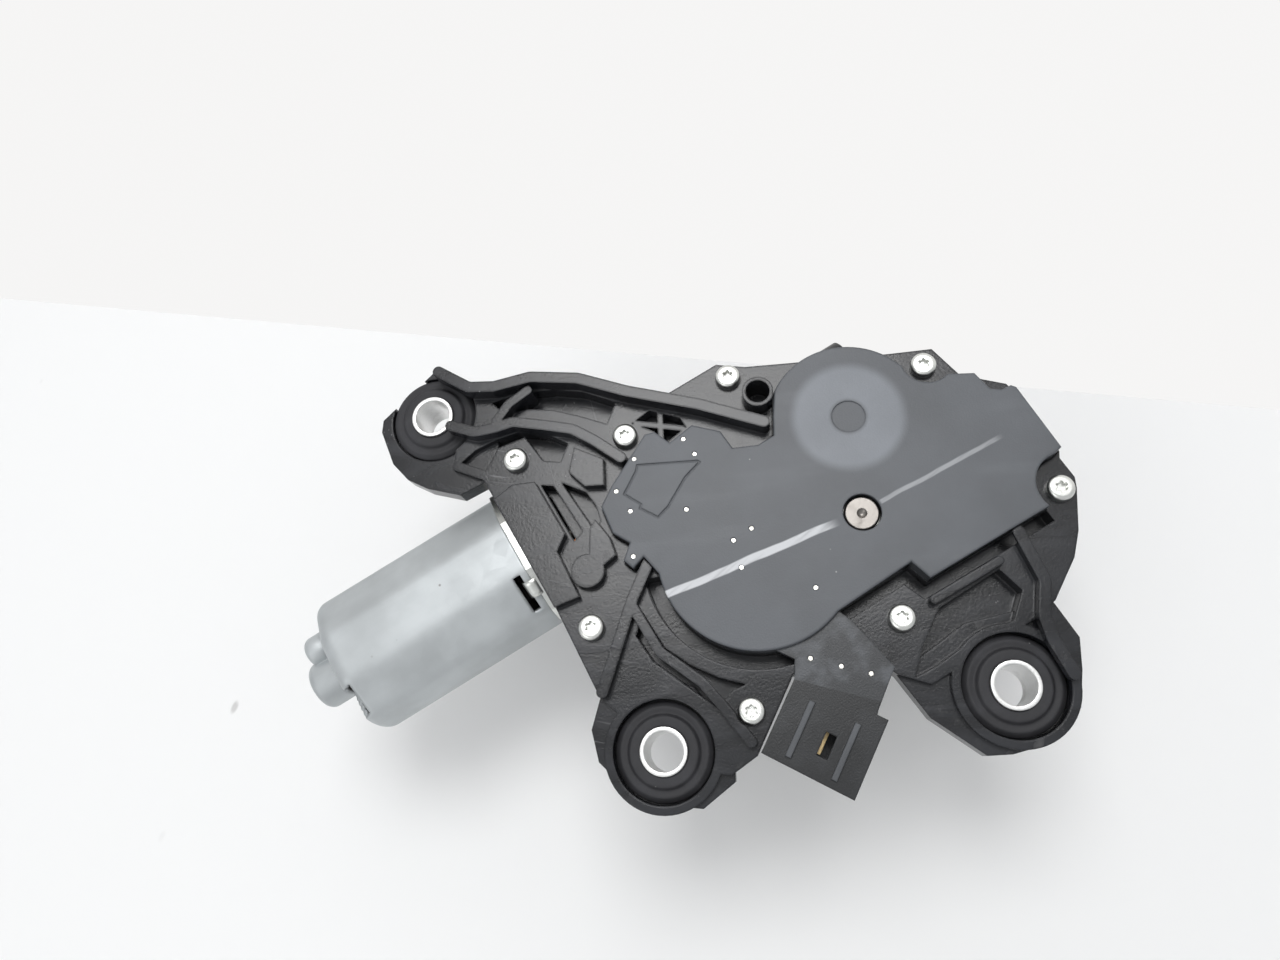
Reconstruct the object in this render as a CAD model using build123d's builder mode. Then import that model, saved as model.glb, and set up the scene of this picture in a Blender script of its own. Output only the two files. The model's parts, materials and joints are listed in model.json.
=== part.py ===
"""Rear wiper motor: a worm gear motor whose crank, segment and pinion swing an output spindle.

Millimetres, +Z up. The origin is on the output spindle's axis, at the end of the spindle tube.
X runs along the motor from the can towards the gears, and the spindle points down.
"""

from build123d import *
import math
import os

os.makedirs("parts", exist_ok=True)

# Heights above the end of the spindle tube
flange_z = 48.0
frame_thick = 8.0
floor_z = 18.0
floor_thick = 3.0
cover_sink = 1.5
cover_thick = 5.5
cover_roof = 2.5
deck_plate = 4.0
pocket_floor = 3.0
ear_top_z = 46.0
ear_web = 3.6
rib_z = 51.0
tall_rib_z = 53.0
split_z = flange_z - frame_thick
ear_bottom_z = split_z
cover_seat_z = flange_z - cover_sink
cover_top_z = cover_seat_z + cover_thick
cover_inner_z = cover_top_z - cover_roof
room_floor_z = floor_z + floor_thick
pocket_z = split_z + pocket_floor

# Clearances
running_gap = 0.05
seat_gap = 0.02
face_gap = 0.3
cover_gap = 0.25

# Worm and wheel
motor_y = 43.0
motor_z = flange_z - 17.5
worm_radius = 4.1
wheel_radius = 15.4
wheel_teeth = 48
wheel_face = 8.0
worm_turns = 8
wheel_x = 12.0
worm_addendum = 0.6
worm_dedendum = 0.75
worm_half_tip = 0.156
worm_half_foot = 0.75
tooth_gap_half = 0.634
tooth_gap_slope = 0.325
wheel_root_depth = 0.82
wheel_web = 5.5
wheel_hub = 6.0
wheel_y = motor_y - wheel_radius - worm_radius
worm_pitch = 2 * math.pi * wheel_radius / wheel_teeth
wheel_tip = wheel_radius + worm_addendum
wheel_bottom_z = motor_z - wheel_face / 2
wheel_top_z = motor_z + wheel_face / 2

# Segment and pinion, and the linkage that swings them
gear_module = 1.0
pinion_teeth = 14
segment_teeth = 36
segment_cut_teeth = 5
gear_face = 4.0
gear_backlash = 0.24
pressure_deg = 20.0
rocker_rest_deg = 193.0
rocker_far_deg = 140.0
pinion_radius = gear_module * pinion_teeth / 2
segment_radius = gear_module * segment_teeth / 2
rocker_length = pinion_radius + segment_radius
coupler_eye = 4.5
coupler_boss = 6.5
coupler_half = 3.0
coupler_bow = 3.0
rocker_thick = 2.0
rocker_end = 5.0
pivot_radius = 3.0
crank_pin_radius = 2.5
axle_radius = 3.5

# Output spindle, its bushes and the tube
spindle_radius = 5.0
spindle_top_radius = 4.5
shank_radius = 4.75
shank_length = 7.0
cone_length = 7.0
cone_radius = 4.7
cone_draft_deg = 4.0
knurl_count = 36
knurl_depth = 0.3
knurl_width = 0.35
neck_length = 1.0
neck_radius = 3.4
thread_radius = 4.0
thread_length = 12.0
bush_wall = 2.0
bush_length = 9.0
tube_radius = 10.5
tower_radius = 8.6
tower_z = 35.0
washer_thick = 1.6
washer_radius = 8.0
bush_radius = spindle_radius + bush_wall
spindle_end_z = -(shank_length + cone_length + neck_length + thread_length)

# Gear room under the cover
room_radius = 23.0
room_x = -28.4
room_y = 6.2
room_wall = 6.5
wheel_room_radius = 18.0
groove_width = 4.0
groove_radius = 25.6
groove_floor_z = 42.0
cover_round_radius = 25.5
cover_wall = 1.6
seal_inset = 0.7
seal_width = 0.9
seal_depth = 0.9
gasket_inset = 1.6
gasket_width = 1.6
gasket_depth = 1.4

# Motor
can_half_width = 20.4
can_half_height = 16.5
can_flat_half = 7.3
can_wall = 1.5
can_mouth_x = -82.5
can_length = 59.5
can_end_x = can_mouth_x - can_length
can_end_round = 3.0
plate_thick = 2.0
plate_end_x = can_mouth_x + plate_thick
boss_radius = 7.0
boss_length = 10.5
lobe_place = (9.0, 3.0)
lobe_radius = 4.6
lobe_length = 8.0
core_radius = 13.8
core_length = 32.0
core_back = 30.5
core_mid_x = can_mouth_x - core_back
core_slots = 8
magnet_gap = 0.8
magnet_half_height = 8.5
shaft_radius = 2.5
shaft_end_x = 21.0
shaft_tail = 8.0
shaft_rear_x = can_end_x - shaft_tail
thrust_ball_radius = 2.0
thrust_screw_radius = 4.0
thrust_screw_length = 3.6
tunnel_radius = 5.2
tunnel_wall = 2.3
tunnel_end_x = 27.0
seat_length = 16.5
seat_end_x = plate_end_x + seat_length
seat_wall = 3.0
seat_half = 21.5
seat_bottom_z = 13.5
commutator_radius = 6.2
commutator_length = 10.0
commutator_out = 1.0
commutator_x = plate_end_x + commutator_out
brush_width = 5.0
brush_height = 6.0
brush_length = 6.0
brush_along = 4.5
brush_x = commutator_x + brush_along
spring_wire = 0.3
spring_turns = 3
spring_pitch = 0.9
spring_radius = 1.9
front_bearing_radius = 5.6
front_bearing_length = 7.0
rear_ball_radius = 5.3
rear_bearing_half = 3.5
rear_ball_back = 2.2
rear_ball_x = can_end_x - rear_ball_back
clip_radius = 11.0

# Mounting sleeves and grommets
sleeve_radius = 6.0
sleeve_bore = 4.9
sleeve_length = 14.5
sleeve_proud = 0.5
grommet_radius = 12.4
grommet_waist = 9.6
grommet_lip = 5.2
grommet_bead = 8.4
collar_gap = 0.4
collar_wall = 2.2
sleeve_top_z = flange_z + sleeve_proud
left_ear = (-84.3, 89.6)
lower_ear = (-74.7, -23.7)
right_ear = (6.6, -54.4)
ear_places = [left_ear, lower_ear, right_ear]

# Screws
screw_head_radius = 3.45
screw_head_height = 2.5
screw_radius = 1.9
screw_length = 16.0
screw_boss = 4.6
recess_radius = 1.45
recess_depth = 1.5
screw_places = [
    (-69.9, 64.0),
    (-40.6, 53.0),
    (-74.8, 12.3),
    (-7.8, 52.0),
    (37.5, 25.4),
    (45.4, -21.0),
    (-6.8, -27.1),
    (-50.9, -26.8),
]

# Vent pipe
vent_place = (-4.3, 42.2)
vent_outer = 4.2
vent_inner = 3.2
vent_z = 54.0

# Connector: its middle line leaves the cover at this angle
connector_deg = 212.4
connector_place = (-30.5, -35.4)
shroud_length = 20.5
shroud_width = 24.0
shroud_height = 12.5
shroud_wall = 1.7
shroud_back = 4.0
shroud_proud = 2.5
contact_pitch = 6.5
blade_width = 2.0
blade_thick = 0.8
blade_recess = 6.0
track_width = 2.4
track_thick = 0.8
dot_radius = 0.6
shroud_top_z = flange_z + shroud_proud
blade_z = shroud_top_z - shroud_height / 2

# Places and small sizes inside
cover_dots = [
    (-27.9, 42.4),
    (-27.6, 37.1),
    (-42.0, 44.9),
    (-50.7, 39.7),
    (-50.3, 32.9),
    (-37.5, 25.2),
    (-31.6, 11.5),
    (-26.0, 11.7),
    (-33.7, 4.4),
    (-55.9, 21.9),
    (-20.8, -9.9),
]
neck_dots = [(-31.6, -23.7), (-26.3, -29.2), (-21.2, -34.4)]
insert_edge = [
    (-42.2, 42.9),
    (-28.0, 35.0),
    (-27.7, 34.4),
    (-33.1, 32.9),
    (-41.1, 28.5),
    (-44.9, 27.4),
    (-47.7, 32.1),
    (-46.9, 32.9),
    (-49.3, 37.8),
    (-43.3, 41.6),
]
spindle_hole = 4.9
latch_out = 12.0
latch_across = 1.3
vent_floor_z = 44.0
lead_y = 36.0
lead_z = 41.3
lead_end_x = -51.5
choke_radius = 2.0
choke_length = 10.0
choke_deg = 27.0
choke_places = [(-46.5, 34.8), (-44.0, 30.0)]
capacitor_place = (34.0, -8.0)
capacitor_leg = 4.0
seal_z = 1.0
seal_length = 4.2
clip_groove_z = 5.6
lower_bush_z = 7.0
contact_inner = 12.4
contact_outer = 14.4
contact_thick = 0.6
clip_width = 2.0
clip_mouth = 3.0
wall_bend = 4.0


def polar(place, radius, degrees):
    """The point at a radius and an angle from a place."""
    turn = math.radians(degrees)
    return (place[0] + radius * math.cos(turn), place[1] + radius * math.sin(turn))


def angle_to(a, b):
    """The direction from one point to another, in degrees."""
    return math.degrees(math.atan2(b[1] - a[1], b[0] - a[0]))


# The four-bar linkage: its two ends of travel set the crank and the coupler
spindle_place = (0.0, 0.0)
room_place = (room_x, room_y)
wheel_place = (wheel_x, wheel_y)
rest_pivot = polar(spindle_place, rocker_length, rocker_rest_deg)
far_pivot = polar(spindle_place, rocker_length, rocker_far_deg)
near_reach = math.dist(far_pivot, wheel_place)
far_reach = math.dist(rest_pivot, wheel_place)
crank_radius = (far_reach - near_reach) / 2
coupler_length = (far_reach + near_reach) / 2
coupler_deg = angle_to(rest_pivot, wheel_place)
crank_pin_place = polar(rest_pivot, coupler_length, coupler_deg)

# Heights of the linkage, from the wheel up
crank_top_z = wheel_top_z + 2.4
pinion_z = tower_z + washer_thick + 0.4
segment_z = crank_top_z + face_gap
rocker_z = segment_z + gear_face + face_gap
clip_z = rocker_z + rocker_thick + 0.2
clip_thick = 1.0
spindle_top_z = cover_top_z - 1.0


def box_face(x0, y0, x1, y1):
    """A rectangle between two corners, in the current sketch."""
    with Locations(((x0 + x1) / 2, (y0 + y1) / 2)):
        Rectangle(abs(x1 - x0), abs(y1 - y0))


def ring_face(outer, inner):
    """A ring in the current sketch."""
    Circle(outer)
    Circle(inner, mode=Mode.SUBTRACT)


def outline_face(*points, mode=Mode.ADD):
    """A face inside straight edges through the points."""
    with BuildLine() as edge:
        Polyline(*points, close=True)
    make_face(edge.line, mode=mode)


def line_face(width, *points):
    """A line of even width with sharp corners."""
    with BuildLine() as edge:
        Polyline(*points)
    trace(edge.line, line_width=width)


def wall_face(width, *points):
    """A wall of even width along a line through the points, with round ends."""
    with BuildLine() as edge:
        if len(points) > 2:
            FilletPolyline(*points, radius=wall_bend)
        else:
            Line(*points)
    trace(edge.line, line_width=width)
    with Locations(points[0], points[-1]):
        Circle(width / 2)


def involute(radius, base):
    """The involute's turn at a radius."""
    pressure = math.acos(min(1.0, base / radius))
    return math.tan(pressure) - pressure


def gear_teeth(place, pitch_radius, teeth, first_deg, count, addendum):
    """Teeth side by side, each with arcs through three points of its involute flanks."""
    base = pitch_radius * math.cos(math.radians(pressure_deg))
    root = pitch_radius - 1.25 * gear_module
    tip = pitch_radius + addendum
    foot = max(root, base) + seat_gap
    middle = (foot + tip) / 2
    half = math.pi / (2 * teeth) - gear_backlash / (4 * pitch_radius) + involute(pitch_radius, base)
    turn = {r: math.degrees(half - involute(r, base)) for r in (foot, middle, tip)}
    for k in range(count):
        centre = first_deg + 360 * k / teeth
        with BuildLine() as edge:
            inner = polar(place, root - 0.5, centre - turn[foot])
            outer = polar(place, root - 0.5, centre + turn[foot])
            first = polar(place, foot, centre - turn[foot])
            last = polar(place, foot, centre + turn[foot])
            Polyline(first, inner, outer, last)
            ThreePointArc(*[polar(place, r, centre - turn[r]) for r in (foot, middle, tip)])
            ThreePointArc(*[polar(place, tip, centre + side * turn[tip]) for side in (-1, 0, 1)])
            ThreePointArc(*[polar(place, r, centre + turn[r]) for r in (foot, middle, tip)])
        make_face(edge.line)


def can_face(inset):
    """The can's section: flats above and below, a facet each side of them and round flanks."""
    half_width = can_half_width - inset
    half_height = can_half_height - inset
    flat = can_flat_half - 0.3 * inset
    facet_y = half_width * 0.88
    facet_z = half_height * 0.6
    with BuildLine() as edge:
        Line((-flat, half_height), (flat, half_height))
        Line((flat, half_height), (facet_y, facet_z))
        ThreePointArc((facet_y, facet_z), (half_width, 0), (facet_y, -facet_z))
        Line((facet_y, -facet_z), (flat, -half_height))
        Line((flat, -half_height), (-flat, -half_height))
        Line((-flat, -half_height), (-facet_y, -facet_z))
        ThreePointArc((-facet_y, -facet_z), (-half_width, 0), (-facet_y, facet_z))
        Line((-facet_y, facet_z), (-flat, half_height))
    make_face(edge.line)


def along_motor(x):
    """The plane across the motor's axis at x. Its own x is sideways and its own y is up."""
    return Plane(origin=(x, motor_y, motor_z), x_dir=(0, 1, 0), z_dir=(1, 0, 0))


def connector_plane(z):
    """The plane at a height whose own x runs out of the connector's mouth."""
    turn = math.radians(connector_deg)
    return Plane(
        origin=(connector_place[0], connector_place[1], z),
        x_dir=(math.cos(turn), math.sin(turn), 0),
        z_dir=(0, 0, 1),
    )


def connector_point(out, across):
    """The point so far out of the connector's back edge and so far across it."""
    turn = math.radians(connector_deg)
    return (
        connector_place[0] + out * math.cos(turn) - across * math.sin(turn),
        connector_place[1] + out * math.sin(turn) + across * math.cos(turn),
    )


def room_face():
    """The gear room seen from above: a round room, the wheel's room and the side chamber."""
    with Locations(room_place):
        Circle(room_radius)
    with Locations(wheel_place):
        Circle(wheel_room_radius)
    outline_face(
        (room_x, room_y - room_radius),
        (-18.0, -14.6),
        (5.4, -14.6),
        (6.4, -20.0),
        (37.0, -20.0),
        (47.0, -10.0),
        (47.0, 3.0),
        (40.0, 11.0),
        (28.0, 15.0),
        wheel_place,
        (-2.0, 32.0),
        (-14.0, 30.0),
        (room_x, room_y + room_radius),
    )


def cover_outline():
    """The cover's edge, with its round part, the bulge over the wheel and two screw recesses."""
    first = polar(room_place, cover_round_radius, 290.5)
    last = polar(room_place, cover_round_radius, 161)
    with BuildLine() as edge:
        Polyline(first, (2.8, -17.0), (4.3, -22.8), (39.4, -23.4))
        ThreePointArc((39.4, -23.4), (41.3, -15.6), (48.8, -13.2))
        Polyline((48.8, -13.2), (51.3, -12.7), (52.3, 6.5), (51.5, 7.7), (48.7, 8.0))
        Polyline((48.7, 8.0), (46.6, 9.8), (46.0, 15.6), (40.2, 19.2))
        ThreePointArc((40.2, 19.2), (33.6, 21.0), (31.9, 27.4))
        ThreePointArc((31.9, 27.4), polar(wheel_place, wheel_room_radius + 2.4, 75), (-0.5, 40.2))
        Polyline((-0.5, 40.2), (-4.6, 34.3), (-7.2, 30.0), (-12.1, 30.0), (-18.2, 33.0))
        Polyline((-18.2, 33.0), (-18.4, 38.8), (-23.9, 44.6), (-31.5, 43.6), (-33.3, 48.5))
        Polyline((-33.3, 48.5), (-36.0, 49.4), (-51.1, 41.7), (-56.3, 38.3), (-57.3, 30.3))
        Polyline((-57.3, 30.3), (-54.8, 25.6), (-58.6, 22.4), (-57.5, 19.2), (-53.6, 20.4), last)
        ThreePointArc(last, polar(room_place, cover_round_radius, 225), first)
    make_face(edge.line)


def frame_outline():
    """The upper shell's plan without its ears."""
    outline_face(
        (-80.5, 64.5),
        (-86.5, 72.0),
        (-78.0, 84.0),
        (-74.5, 96.0),
        (-70.3, 91.1),
        (-64.2, 86.9),
        (-53.8, 83.6),
        (-49.1, 80.7),
        (-42.4, 75.8),
        (-32.6, 64.0),
        (-26.5, 57.7),
        (-8.3, 57.5),
        (-2.0, 52.4),
        (8.9, 46.4),
        (32.4, 33.6),
        (42.6, 28.4),
        (44.1, 18.5),
        (48.2, 13.8),
        (52.4, 9.4),
        (52.8, 6.4),
        (51.8, -12.9),
        (50.7, -14.4),
        (50.6, -20.4),
        (49.3, -22.8),
        (42.6, -31.9),
        (37.5, -36.8),
        (27.0, -42.9),
        (20.0, -44.0),
        (-10.0, -44.0),
        (-15.6, -37.8),
        (-17.7, -33.0),
        (-26.0, -27.0),
        (-37.2, -24.6),
        (-44.0, -29.0),
        (-55.4, -36.4),
        (-63.1, -37.0),
        (-73.0, -30.0),
        (-81.9, -3.7),
        (-80.5, 21.5),
    )


# Motor can of drawn steel, with a bearing boss and a smaller lobe on its end
with BuildPart() as motor_can:
    with BuildSketch(along_motor(can_end_x)):
        can_face(0)
    extrude(amount=can_mouth_x - can_end_x)
    fillet(motor_can.faces().sort_by(Axis.X)[0].edges(), can_end_round)
    with BuildSketch(along_motor(can_end_x + can_wall)):
        Circle(boss_radius)
    extrude(amount=-boss_length - can_wall)
    fillet(motor_can.faces().sort_by(Axis.X)[0].edges(), can_end_round)
    with BuildSketch(along_motor(can_end_x + can_wall)):
        with Locations(lobe_place):
            Circle(lobe_radius)
    extrude(amount=-lobe_length - can_wall)
    with BuildSketch(along_motor(can_end_x + can_wall)):
        can_face(can_wall)
    extrude(amount=can_mouth_x - can_end_x, mode=Mode.SUBTRACT)
    with BuildSketch(along_motor(can_end_x + 2 * can_wall)):
        Circle(boss_radius - can_wall)
    extrude(amount=-boss_length - can_wall, mode=Mode.SUBTRACT)
    # vent slot in the shoulder of the end, and crimp slot near the mouth
    with BuildSketch(Plane.XY.offset(motor_z + 6)):
        box_face(can_end_x - 1, motor_y - 17.0, can_end_x + 3.4, motor_y - 8.4)
        box_face(can_mouth_x - 4.6, motor_y - 17.0, can_mouth_x - 2.4, motor_y - 7.6)
    extrude(amount=can_half_height, mode=Mode.SUBTRACT)
motor_can.part.label = "motor_can"
export_step(motor_can.part, "parts/motor_can.step")

# End plate clamped between the can and the housing
with BuildPart() as motor_end_plate:
    with BuildSketch(along_motor(can_mouth_x)):
        can_face(-0.9)
        Circle(10.5, mode=Mode.SUBTRACT)
        with Locations((-15.0, 0), (15.0, 0)):
            Rectangle(3.4, 9.0, mode=Mode.SUBTRACT)
    extrude(amount=plate_thick)
motor_end_plate.part.label = "motor_end_plate"
export_step(motor_end_plate.part, "parts/motor_end_plate.step")

# Field magnets: two curved blocks against the can's flanks
with BuildPart() as field_magnets:
    with BuildSketch(along_motor(core_mid_x - core_length / 2 - 2)):
        ring_face(can_half_width - can_wall - face_gap, core_radius + magnet_gap)
        Rectangle(2 * can_half_width, 2 * magnet_half_height, mode=Mode.INTERSECT)
    extrude(amount=core_length + 4)
field_magnets.part.label = "field_magnets"
export_step(field_magnets.part, "parts/field_magnets.step")

# Armature shaft with its rolled worm
worm_start_x = wheel_x - worm_turns / 2 * worm_pitch - worm_pitch / 4
with BuildPart() as worm_shaft:
    with BuildSketch(along_motor(shaft_rear_x)):
        Circle(shaft_radius)
    extrude(amount=shaft_end_x - shaft_rear_x)
    with BuildSketch(along_motor(worm_start_x - worm_pitch)):
        Circle(worm_radius - worm_dedendum)
    extrude(amount=shaft_end_x - worm_start_x + worm_pitch)
    with BuildLine() as worm_path:
        Helix(
            pitch=worm_pitch,
            height=worm_turns * worm_pitch,
            radius=worm_radius,
            center=(worm_start_x, motor_y, motor_z),
            direction=(1, 0, 0),
        )
    worm_start = worm_path.line @ 0
    outward = Vector(0, worm_start.Y - motor_y, worm_start.Z - motor_z)
    with BuildSketch(Plane(origin=worm_start, x_dir=outward, z_dir=worm_path.line % 0)):
        foot = worm_dedendum + 0.2
        outline_face(
            (-foot, -worm_half_foot),
            (worm_addendum, -worm_half_tip),
            (worm_addendum, worm_half_tip),
            (-foot, worm_half_foot),
        )
    sweep(path=worm_path.line, is_frenet=True)
    with BuildSketch(along_motor(shaft_end_x)):
        Circle(thrust_ball_radius + running_gap)
    extrude(amount=-thrust_ball_radius, mode=Mode.SUBTRACT)
worm_shaft.part.label = "worm_shaft"
export_step(worm_shaft.part, "parts/worm_shaft.step")

# Steel ball in the shaft's end, and the screw that it runs against
with BuildPart() as thrust_ball:
    with Locations((shaft_end_x, motor_y, motor_z)):
        Sphere(thrust_ball_radius)
thrust_ball.part.label = "thrust_ball"
export_step(thrust_ball.part, "parts/thrust_ball.step")

thrust_screw_x = shaft_end_x + thrust_ball_radius + running_gap
with BuildPart() as thrust_screw:
    with BuildSketch(along_motor(thrust_screw_x)):
        Circle(thrust_screw_radius)
    extrude(amount=thrust_screw_length)
    with BuildSketch(along_motor(thrust_screw_x + thrust_screw_length)):
        RegularPolygon(2.0, 6)
    extrude(amount=-thrust_screw_length / 2, mode=Mode.SUBTRACT)
thrust_screw.part.label = "thrust_screw"
export_step(thrust_screw.part, "parts/thrust_screw.step")

# Armature: slotted core, windings through its slots, and commutator
slot_radius = 10.0
slot_size = 4.0
core_start_x = core_mid_x - core_length / 2
with BuildPart() as armature_core:
    with BuildSketch(along_motor(core_start_x)):
        ring_face(core_radius, shaft_radius + seat_gap)
        with PolarLocations(slot_radius, core_slots):
            Rectangle(slot_size, slot_size, mode=Mode.SUBTRACT)
        with PolarLocations(core_radius, core_slots):
            Rectangle(slot_size, 1.6, mode=Mode.SUBTRACT)
    extrude(amount=core_length)
armature_core.part.label = "armature_core"
export_step(armature_core.part, "parts/armature_core.step")

winding_overhang = 6.0
with BuildPart() as armature_windings:
    rear_overhang = along_motor(core_start_x - seat_gap)
    front_overhang = along_motor(core_start_x + core_length + winding_overhang)
    with BuildSketch(rear_overhang, front_overhang):
        ring_face(core_radius - 1.2, shaft_radius + 1.8)
    extrude(amount=-winding_overhang + seat_gap)
    fillet(armature_windings.edges().filter_by(GeomType.CIRCLE).group_by(Axis.X)[0], 1.6)
    fillet(armature_windings.edges().filter_by(GeomType.CIRCLE).group_by(Axis.X)[-1], 1.6)
    with BuildSketch(along_motor(core_start_x - 1)):
        with PolarLocations(slot_radius, core_slots):
            Rectangle(slot_size - 0.2, slot_size - 0.2)
    extrude(amount=core_length + 2)
armature_windings.part.label = "armature_windings"
export_step(armature_windings.part, "parts/armature_windings.step")

with BuildPart() as commutator:
    with BuildSketch(along_motor(commutator_x)):
        ring_face(commutator_radius, shaft_radius + seat_gap)
        with PolarLocations(commutator_radius, core_slots):
            Rectangle(1.2, 0.5, mode=Mode.SUBTRACT)
    extrude(amount=commutator_length)
    with BuildSketch(along_motor(commutator_x)):
        ring_face(commutator_radius + 1.2, shaft_radius + seat_gap)
    extrude(amount=-2.0)
commutator.part.label = "commutator"
export_step(commutator.part, "parts/commutator.step")

# Brush holder plate with a box for each brush
brush_outer = commutator_radius + running_gap + brush_length
holder_end = brush_outer + spring_turns + 1.2
box_wall = 0.8
with BuildPart() as brush_holder:
    with BuildSketch(along_motor(plate_end_x)):
        can_face(seat_wall + 0.4)
        Circle(commutator_radius + 1.4, mode=Mode.SUBTRACT)
    extrude(amount=1.4)
    with BuildSketch(along_motor(plate_end_x)):
        Rectangle(2 * holder_end, brush_height + 2 * box_wall + 2 * running_gap)
        Circle(commutator_radius + 1.4, mode=Mode.SUBTRACT)
    extrude(amount=brush_x + brush_width / 2 + box_wall + running_gap - plate_end_x)
    with BuildSketch(along_motor(brush_x - brush_width / 2 - running_gap)):
        Rectangle(2 * holder_end - 2 * box_wall, brush_height + 2 * running_gap)
    extrude(amount=brush_width + 2 * running_gap, mode=Mode.SUBTRACT)
brush_holder.part.label = "brush_holder"
export_step(brush_holder.part, "parts/brush_holder.step")

with BuildPart() as carbon_brushes:
    with BuildSketch(along_motor(brush_x - brush_width / 2)):
        Rectangle(2 * brush_outer, brush_height)
        Circle(commutator_radius + running_gap, mode=Mode.SUBTRACT)
    extrude(amount=brush_width)
carbon_brushes.part.label = "carbon_brushes"
export_step(carbon_brushes.part, "parts/carbon_brushes.step")

with BuildPart() as brush_springs:
    for side in (-1, 1):
        spring_foot = (brush_x, motor_y + side * (brush_outer + spring_wire), motor_z)
        with BuildLine() as spring_path:
            Helix(
                pitch=spring_pitch,
                height=spring_pitch * spring_turns,
                radius=spring_radius,
                center=spring_foot,
                direction=(0, side, 0),
            )
        with BuildSketch(Plane(origin=spring_path.line @ 0, z_dir=spring_path.line % 0)):
            Circle(spring_wire)
        sweep(path=spring_path.line, is_frenet=True)
brush_springs.part.label = "brush_springs"
export_step(brush_springs.part, "parts/brush_springs.step")

# Bearings of the armature
front_bearing_x = seat_end_x - seat_wall
with BuildPart() as front_bearing:
    with BuildSketch(along_motor(front_bearing_x)):
        ring_face(front_bearing_radius, shaft_radius + running_gap)
    extrude(amount=front_bearing_length)
    chamfer(front_bearing.edges().filter_by(GeomType.CIRCLE), 0.4)
front_bearing.part.label = "front_bearing"
export_step(front_bearing.part, "parts/front_bearing.step")

rear_bearing_end = math.sqrt(rear_ball_radius**2 - rear_bearing_half**2)
with BuildPart() as rear_bearing:
    with BuildSketch(Plane(origin=(rear_ball_x, motor_y, motor_z), x_dir=(1, 0, 0), z_dir=(0, -1, 0))):
        with BuildLine():
            Polyline(
                (rear_bearing_half, rear_bearing_end),
                (rear_bearing_half, shaft_radius + running_gap),
                (-rear_bearing_half, shaft_radius + running_gap),
                (-rear_bearing_half, rear_bearing_end),
            )
            ThreePointArc(
                (-rear_bearing_half, rear_bearing_end),
                (0, rear_ball_radius),
                (rear_bearing_half, rear_bearing_end),
            )
        make_face()
    revolve(axis=Axis((rear_ball_x, motor_y, motor_z), (1, 0, 0)))
rear_bearing.part.label = "rear_bearing"
export_step(rear_bearing.part, "parts/rear_bearing.step")

# Sheet steel clip that holds the rear bearing, against the can's end
with BuildPart() as bearing_clip:
    with BuildSketch(along_motor(can_end_x + can_wall)):
        ring_face(clip_radius, shaft_radius + 1.5)
        with PolarLocations(clip_radius, 6):
            Rectangle(4.0, 2.4, mode=Mode.SUBTRACT)
    extrude(amount=0.8)
bearing_clip.part.label = "bearing_clip"
export_step(bearing_clip.part, "parts/bearing_clip.step")

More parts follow.
